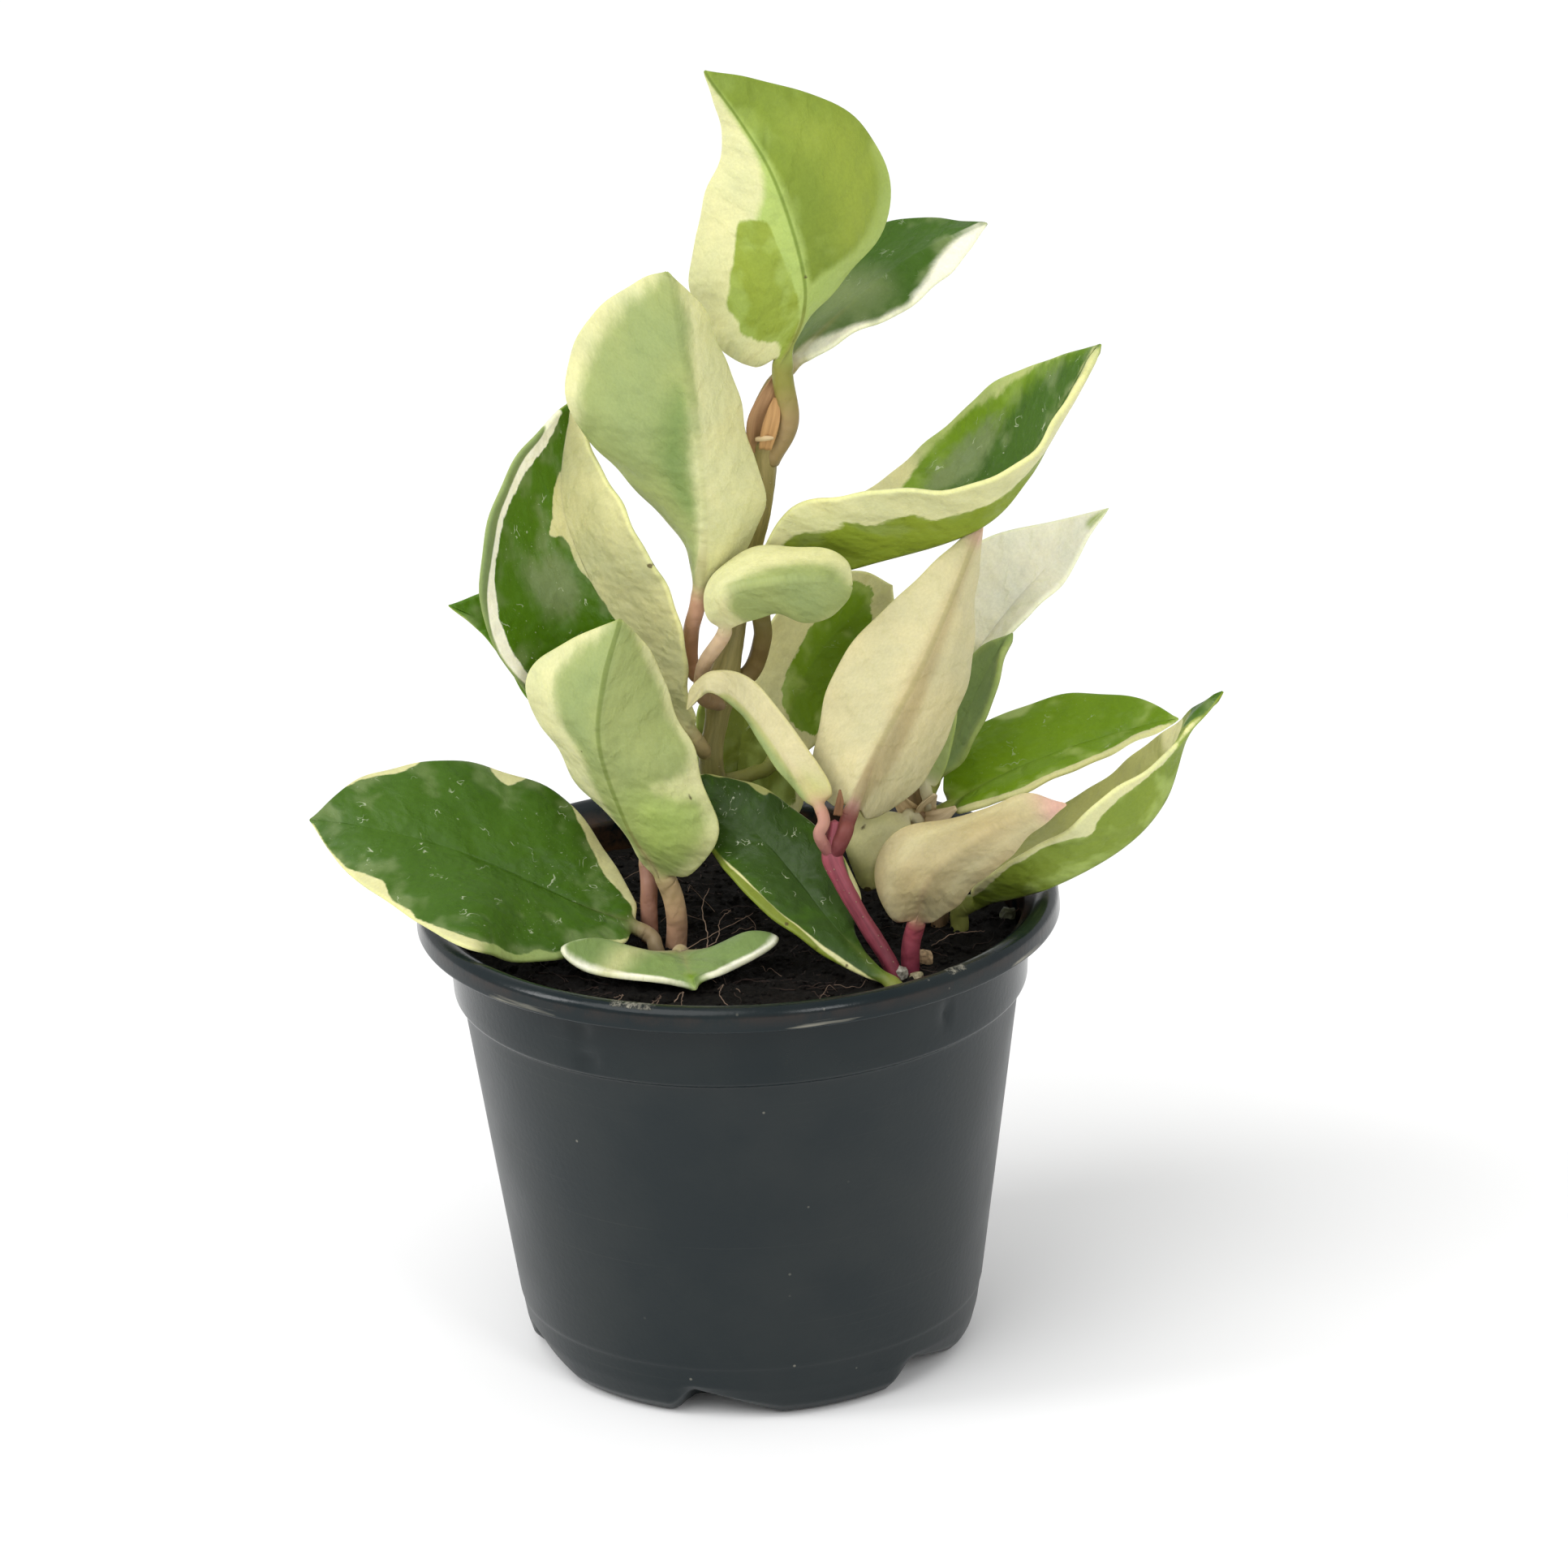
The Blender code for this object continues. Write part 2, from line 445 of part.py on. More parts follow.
def blade_rings(leaf):
    """Rings of the blade: upper face from left to right, then lower face back."""
    even = np.linspace(0, 1, BLADE_STATIONS + 1)
    fractions = (even + (1 - np.cos(math.pi * even)) / 2) / 2
    fractions[-1] = TIP_SHARE
    rib = smooth_curve(leaf.midrib, fractions, before=leaf.stalk[-2])
    left = edge_curve(leaf, leaf.left, fractions)
    right = edge_curve(leaf, leaf.right, fractions)
    tangents = unit(np.gradient(rib, axis=0))
    chords = right - left
    chords[0] = chords[1]
    chords[-1] = chords[-2]
    ups = unit(np.cross(chords, tangents))
    across = np.linspace(-1, 1, 2 * BLADE_COLUMNS + 1)
    share = np.abs(across)[None, :, None]
    edges = np.where(across[None, :, None] < 0, left[:, None], right[:, None])
    reach = edges - rib[:, None]
    width = np.linalg.norm(reach, axis=-1, keepdims=True)
    sheet = rib[:, None] + reach * share + ups[:, None] * leaf.bow * width * 4 * share * (1 - share)
    along = np.gradient(sheet, axis=0)
    over = np.gradient(sheet, axis=1)
    over[0] = over[1]
    normals = unit(np.cross(over, along))
    thick = (EDGE_THICKNESS + (MIDDLE_THICKNESS - EDGE_THICKNESS) * (1 - share ** 2)) / 2
    rib_fall = (1 - fractions)[:, None, None]
    keel = RIB_DEPTH * rib_fall * np.exp(-(width * share / RIB_WIDTH) ** 2)
    upper = sheet + normals * thick
    lower = sheet - normals * (thick + keel)
    rings = []
    angles = math.pi * (1 - (np.arange(len(across)) + 0.5) / len(across))
    for i, fraction in enumerate(fractions):
        side = unit(chords[i] - tangents[i] * np.dot(chords[i], tangents[i]))
        up = np.cross(side, tangents[i])
        arc = np.cos(angles)[:, None] * side
        rise = np.sin(angles)[:, None] * up
        if fraction == TIP_SHARE:
            tip_radius = EDGE_THICKNESS / 2
            rings.append(rib[i] + tip_radius * np.vstack([arc + rise, (arc - rise)[::-1]]))
            continue
        round_upper = rib[i] + leaf.radius * (arc + rise)
        round_lower = rib[i] + leaf.radius * (arc - rise)
        blend = min(1.0, fraction / BASE_BLEND)
        blend = blend * blend * (3 - 2 * blend)
        top = round_upper + (upper[i] - round_upper) * blend
        bottom = round_lower + (lower[i] - round_lower) * blend
        rings.append(np.vstack([top, bottom[::-1]]))
    return rings, chords[0], angles


def leaf_rings(leaf):
    """Rings of a whole leaf: round stalk, then blade."""
    blade, side, angles = blade_rings(leaf)
    centres = smooth_curve(leaf.stalk, np.linspace(0, 1, STALK_STATIONS + 1), after=leaf.midrib[1])
    _, sides, normals = frames_along(centres, side)
    rings = []
    for centre, across, up in list(zip(centres, sides, normals))[:-1]:
        arc = np.cos(angles)[:, None] * across
        rise = np.sin(angles)[:, None] * up
        top = centre + leaf.radius * (arc + rise)
        bottom = centre + leaf.radius * (arc - rise)
        rings.append(np.vstack([top, bottom[::-1]]))
    return rings + blade


def tube_rings(route, radii, extra=0.0, stations=None, sides=VINE_SIDES):
    """Rings of a round stem along a smooth route."""
    stations = stations or 2 * len(route) - 1
    with_radius = [tuple(p) + (r,) for p, r in zip(route, radii)]
    path = smooth_curve(with_radius, np.linspace(0, 1, stations))
    centres, sizes = path[:, :3], path[:, 3]
    _, across, up = frames_along(centres, (1.0, 0.0, 0.0))
    angles = np.linspace(0, 2 * math.pi, sides, endpoint=False)
    return [c + (r + extra) * (np.cos(angles)[:, None] * x + np.sin(angles)[:, None] * u)
            for c, r, x, u in zip(centres, sizes, across, up)]


def notch_share(angle):
    """How far the bottom corner is raised at an angle, from 0 to 1."""
    pitch = 360.0 / NOTCH_COUNT
    turn = (angle - NOTCH_START) % pitch
    rise = NOTCH_PEAK - NOTCH_START
    fall = NOTCH_END - NOTCH_PEAK
    if turn <= rise:
        return turn / rise
    return max(0.0, 1 - (turn - rise) / fall)


def turned(profile, segments, first_height, last_height):
    """Points and faces of a closed turned shape, centre to centre.

    Each profile entry is radius, height and how much of a notch's rise it takes.
    """
    points = [(0, 0, first_height)]
    for radius, height, lift in profile:
        for k in range(segments):
            angle = 360.0 * k / segments
            turn = math.radians(angle)
            level = height(radius, turn) if callable(height) else height
            level += lift * NOTCH_HEIGHT * notch_share(angle)
            points.append((radius * math.sin(turn), -radius * math.cos(turn), level))
    points.append((0, 0, last_height))
    faces = []
    for k in range(segments):
        faces.append((0, 1 + k, 1 + (k + 1) % segments))
        for i in range(len(profile) - 1):
            a = 1 + i * segments + k
            b = 1 + i * segments + (k + 1) % segments
            faces += [(a, a + segments, b), (b, a + segments, b + segments)]
        base = 1 + (len(profile) - 1) * segments
        faces.append((base + k, len(points) - 1, base + (k + 1) % segments))
    return points, faces


def inner_wall(depth):
    """The outer wall's points moved inwards by a depth, from the collar down."""
    wall = np.array([(0.0, 0.0, 0.0)] + OUTER_WALL)
    runs = unit(np.diff(wall[:, :2], axis=0))
    inward = np.stack([-runs[:, 1], runs[:, 0]], -1)
    moved = []
    for i in range(1, len(wall) - 1):
        radius, height = wall[i, :2] + depth * unit(inward[i - 1] + inward[i])
        moved.append((radius, height, wall[i, 2]))
    return moved[::-1]


def make_pot():
    """Thin moulded pot with a skirted lip, a stacking collar and notched corner."""
    mouth = (COLLAR_RADIUS - WALL, POT_HEIGHT - MOUTH_DROP, 0.0)
    points, faces = turned(OUTER_WALL + LIP + [mouth] + inner_wall(WALL), POT_SEGMENTS, 0.0, WALL)
    pot = make_object("pot", points, faces, make_material("black_polypropylene", POT_BLACK, POT_ROUGHNESS))
    cut(pot, make_drains())


def make_drains():
    """A hidden cutter of round rods, one through the floor beside each notch."""
    work = bmesh.new()
    for k in range(NOTCH_COUNT):
        turn = math.radians(DRAIN_ANGLE + 360.0 * k / NOTCH_COUNT)
        place = Vector((DRAIN_CIRCLE * math.sin(turn), -DRAIN_CIRCLE * math.cos(turn), WALL / 2))
        bmesh.ops.create_cone(work, cap_ends=True, segments=DRAIN_SIDES, radius1=DRAIN_RADIUS * MM,
                              radius2=DRAIN_RADIUS * MM, depth=(WALL + 2 * DRAIN_REACH) * MM,
                              matrix=Matrix.Translation(place * MM))
    mesh = bpy.data.meshes.new("drain_holes")
    work.to_mesh(mesh)
    work.free()
    drains = bpy.data.objects.new("drain_holes", mesh)
    bpy.context.scene.collection.objects.link(drains)
    return drains


def make_cutter(name, ring_lists):
    """One hidden cutter made of separate closed tubes."""
    all_points, all_faces = [], []
    for rings in ring_lists:
        points, faces = loft(rings)
        offset = len(all_points)
        all_points += [tuple(p) for p in points]
        all_faces += [tuple(offset + i for i in face) for face in faces]
    return make_object(name, all_points, all_faces)


def soil_level(radius, turn):
    """Height of the soil's surface: a slope to the back with gentle lumps."""
    x = radius * math.sin(turn)
    y = -radius * math.cos(turn)
    level = math.sin(2 * math.pi * x / LUMP_ACROSS + LUMP_SHIFT) * math.cos(2 * math.pi * y / LUMP_DEEP)
    slant = LUMP_SLANT_SHARE * math.sin(2 * math.pi * (x + y) / LUMP_SLANT)
    return SOIL_HEIGHT + SOIL_RISE_TO_BACK * y / COLLAR_RADIUS + SOIL_LUMP * (level + slant)


def rooted_stalk(leaf):
    """The stalk of a leaf that stands in the soil, with its hidden foot."""
    foot = np.array(leaf.stalk[0]) - (0, 0, STEM_DEPTH)
    return [tuple(foot)] + leaf.stalk


def make_soil():
    """Peat that fills the pot, with a plain hole for every stem and a few stones."""
    surface = [(radius, soil_level, 0.0) for radius in SOIL_RINGS]
    wall = inner_wall(WALL + SOIL_CLEARANCE)
    points, faces = turned(surface + wall, POT_SEGMENTS, soil_level(0, 0), WALL + SOIL_CLEARANCE)
    soil = make_object("soil", points, faces, make_material("damp_peat", PEAT, PEAT_ROUGHNESS))
    for index, (x, y, size) in enumerate(STONES):
        work = bmesh.new()
        bmesh.ops.create_icosphere(work, subdivisions=1, radius=size * MM)
        mesh = bpy.data.meshes.new("stone")
        work.to_mesh(mesh)
        work.free()
        stone = bpy.data.objects.new("stone_%d" % (index + 1), mesh)
        level = soil_level(math.hypot(x, y), math.atan2(x, -y))
        stone.location = (x * MM, y * MM, (level + STONE_LIFT) * MM)
        bpy.context.scene.collection.objects.link(stone)
        cut(soil, stone, "UNION")
    holes = []
    for name, vine in VINES.items():
        deeper = np.array(vine.route[0]) - (0, 0, 2 * GAP)
        holes.append(tube_rings([tuple(deeper)] + vine.route[1:], vine.radii, extra=GAP))
    for name in ROOTED_LEAVES:
        stalk = rooted_stalk(LEAVES[name])
        deeper = np.array(stalk[0]) - (0, 0, 2 * GAP)
        holes.append(tube_rings([tuple(deeper)] + stalk[1:], [LEAVES[name].radius] * len(stalk), extra=GAP))
    cut(soil, make_cutter("stem_holes", holes))


def make_vines():
    """Each vine as one tapered tube with swollen nodes."""
    for name, vine in VINES.items():
        points, faces = loft(tube_rings(vine.route, vine.radii))
        make_object(name, points, faces, make_material(name + "_bark", vine.colour, BARK_ROUGHNESS))


def make_leaves():
    """Each leaf as one solid, its stalk ending at the vine or in the soil."""
    carrier = {leaf: vine for vine, leaves in LEAVES_ON_VINE.items() for leaf in leaves}
    clearance = {}
    for name, vine in VINES.items():
        clearance[name] = make_cutter(name + "_clearance", [tube_rings(vine.route, vine.radii, extra=GAP)])
    for name, leaf in LEAVES.items():
        if name in ROOTED_LEAVES:
            leaf = leaf._replace(stalk=rooted_stalk(leaf))
        points, faces = loft(leaf_rings(leaf))
        item = make_object(name, points, faces, make_material(name + "_skin", leaf.colour, SKIN_ROUGHNESS))
        if name in carrier:
            cut(item, clearance[carrier[name]])


def main():
    clear_scene()
    make_pot()
    make_soil()
    make_vines()
    make_leaves()


main()
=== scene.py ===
"""Potted krimson queen hoya, dressed for a studio picture.

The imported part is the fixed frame. Its leaves, stems, soil and pot are replaced here by finer pieces of the
same form: blades with waved margins, veins and cream variegation, barked stems with papery bracts, crumbly
peat with roots, and a moulded nursery pot. Sizes are millimetres, and become metres when a mesh is made.
"""

import math
import random
from collections import namedtuple

import bmesh
import bpy
import numpy as np
from bpy.props import FloatProperty, FloatVectorProperty, IntProperty, PointerProperty
from bpy.types import Operator, Panel, PropertyGroup
from mathutils import Matrix, Vector, noise


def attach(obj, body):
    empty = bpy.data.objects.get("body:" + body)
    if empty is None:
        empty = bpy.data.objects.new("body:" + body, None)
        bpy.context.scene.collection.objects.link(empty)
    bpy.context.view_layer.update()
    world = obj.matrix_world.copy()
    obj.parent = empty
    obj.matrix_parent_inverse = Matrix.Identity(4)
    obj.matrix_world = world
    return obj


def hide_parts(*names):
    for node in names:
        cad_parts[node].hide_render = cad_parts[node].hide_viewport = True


bl_info = {
    "name": "Potted Krimson Queen Hoya",
    "version": (1, 0, 0),
    "blender": (4, 5, 0),
    "location": "3D View > Sidebar > Hoya",
    "description": "Dresses a trailing variegated wax plant in its nursery pot",
    "category": "Object",
}

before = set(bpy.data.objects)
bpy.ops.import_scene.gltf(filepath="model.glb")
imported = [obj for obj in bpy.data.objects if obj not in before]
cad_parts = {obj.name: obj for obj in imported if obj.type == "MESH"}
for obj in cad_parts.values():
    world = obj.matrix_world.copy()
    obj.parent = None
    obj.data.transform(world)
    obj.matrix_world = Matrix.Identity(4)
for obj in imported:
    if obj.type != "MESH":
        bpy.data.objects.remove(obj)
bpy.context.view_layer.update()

MM = 0.001
TURN = 2 * math.pi

# Camera: the photograph is 1932 pixels square and was taken from a little above.
IMAGE_SIZE = 1932
FOCAL_PIXELS = 7622
CAMERA_ELEVATION = 20.05
CAMERA_ROLL = -1.94
CAMERA_DISTANCE = 1000.0
CAMERA_TARGET = (8.15, 0.0, 95.75)
SENSOR_WIDTH = 36.0
FLOOR_HALF = 4000.0

# Pot, as in the part's source, with the small beads that a mould leaves.
POT_HEIGHT = 77.9
LIP_RADIUS = 52.5
LIP_DROP = 3.9
COLLAR_RADIUS = 47.6
COLLAR_FOOT = 62.8
BODY_TOP_RADIUS = 45.3
BODY_TOP = 60.0
BODY_FOOT_RADIUS = 38.4
BODY_FOOT = 10.0
BASE_RADIUS = 33.0
FLOOR_RADIUS = 27.0
WALL = 1.2
POT_SEGMENTS = 288
# The collar and the lip reflect less than the body, because their tool was not blasted.
BODY_SHEEN = 0.37
LIP_SHEEN = 0.3
LIP_ROUGHNESS = 0.2
NOTCH_COUNT = 6
NOTCH_HEIGHT = 4.4
NOTCH_START = -22.5
NOTCH_PEAK = -15.0
NOTCH_END = 7.5
DRAIN_RADIUS = 2.6
DRAIN_CIRCLE = 22.0
DRAIN_ANGLE = -12.0
DRAIN_REACH = 3.0

# Half section of the outside, from the foot's middle outwards and up: radius, height
# and how much of a drainage notch's rise the point takes.
OUTER_WALL = [
    (FLOOR_RADIUS, 0.0, 0.0),
    (BASE_RADIUS, 0.0, 1.0),
    (BASE_RADIUS + 1.8, 0.4, 1.0),
    (BASE_RADIUS + 3.6, 2.2, 0.7),
    (BASE_RADIUS + 4.5, 5.4, 0.2),
    (BODY_FOOT_RADIUS - 0.25, BODY_FOOT - 0.6, 0.0),
    (BODY_FOOT_RADIUS, BODY_FOOT, 0.0),
    (BODY_TOP_RADIUS, BODY_TOP, 0.0),
    (BODY_TOP_RADIUS + 0.3, COLLAR_FOOT - 0.6, 0.0),
    (COLLAR_RADIUS - 0.7, COLLAR_FOOT, 0.0),
    (COLLAR_RADIUS, POT_HEIGHT - 3.3, 0.0),
]
LIP = [
    (LIP_RADIUS - 3.0, POT_HEIGHT - 1.7, 0.0),
    (LIP_RADIUS - 1.3, POT_HEIGHT - 1.7, 0.0),
    (LIP_RADIUS - 1.1, POT_HEIGHT - LIP_DROP, 0.0),
    (LIP_RADIUS, POT_HEIGHT - LIP_DROP, 0.0),
    (LIP_RADIUS - 0.3, POT_HEIGHT - 1.0, 0.0),
    (LIP_RADIUS - 1.2, POT_HEIGHT, 0.0),
    (LIP_RADIUS - 2.4, POT_HEIGHT, 0.0),
    (LIP_RADIUS - 3.7, POT_HEIGHT - 0.7, 0.0),
]
# Marks pressed into the collar: turn in degrees, height, width, tall, depth.
COLLAR_MARKS = [(-32.0, 70.5, 1.6, 0.9, 0.8), (-31.0, 65.4, 2.0, 1.0, 0.9), (43.5, 69.0, 0.9, 1.3, 0.8)]
# Mineral crust on the lip: turn in degrees and half width in degrees.
CRUSTS = [(-19.0, 8.5), (42.0, 4.5)]
# Painted highlights, pale streaks on the lip and collar: turn in degrees, half width in degrees, height.
HIGHLIGHT_STREAKS = [(15.0, 9.0, 74.7), (-40.0, 12.0, 74.7), (20.0, 10.0, 71.2), (-34.0, 11.0, 71.2), (62.0, 8.0, 74.7)]

# Soil, as in the part's source.
SOIL_HEIGHT = 69.6
SOIL_RISE_TO_BACK = 0.7
SOIL_LUMP = 0.35
LUMP_ACROSS = 20.3
LUMP_DEEP = 23.3
LUMP_SLANT = 37.0
LUMP_SLANT_SHARE = 0.6
LUMP_SHIFT = 1.1
SOIL_RADIUS = 45.3
SOIL_CLEARANCE = 0.35
SOIL_SEGMENTS = 300
SOIL_RINGS = 100
STEM_DEPTH = 5.0
# Fibres and roots: the range of their headings in radians, the shortest path in points,
# and how many roots there are beside those that show in front.
HEADINGS = 6.28
FEWEST_POINTS = 4
FINE_ROOTS = 45
# Stones in the soil's surface: x, y, radius and tone.
STONES = [(25.5, -20.6, 1.5, "9C988C"), (29.6, -14.5, 1.6, "A98F6C"), (28.3, -21.8, 1.2, "8D8465"),
          (44.0, 3.0, 1.3, "6F7458"), (21.0, -30.5, 1.2, "4E463C")]

# Leaves. The stalk ends where the midrib starts. A leaf's curves run from the base of
# the blade to its tip, and left and right are as seen on the upper face, tip up.
EDGE_THICKNESS = 0.9
MIDDLE_THICKNESS = 1.5
RIB_DEPTH = 0.7
RIB_WIDTH = 1.6
GROOVE_DEPTH = 0.28
GROOVE_WIDTH = 0.8
RIM_WIDTH = 0.6
LONG_WAVE = 13.0
SHORT_WAVE = 7.3
# Shares of the blade: where it has its full section, where its last ring is, between which
# its two margins say how it turns, and over which its waves grow from the base and the tip.
BASE_BLEND = 0.09
BLADE_END = 0.9985
CHORD_SHARES = (0.05, 0.965)
BASE_CALM = 0.2
TIP_CALM = 0.15
CURVE_STEPS = 24
BLADE_STATIONS = 84
BLADE_COLUMNS = 24
STALK_STATIONS = 26
WIDTH_SAMPLES = 50
# Millimetres that count as far from a margin, a patch or a speck.
FAR = 9.0

Leaf = namedtuple("Leaf", "stalk midrib left right radius bow")

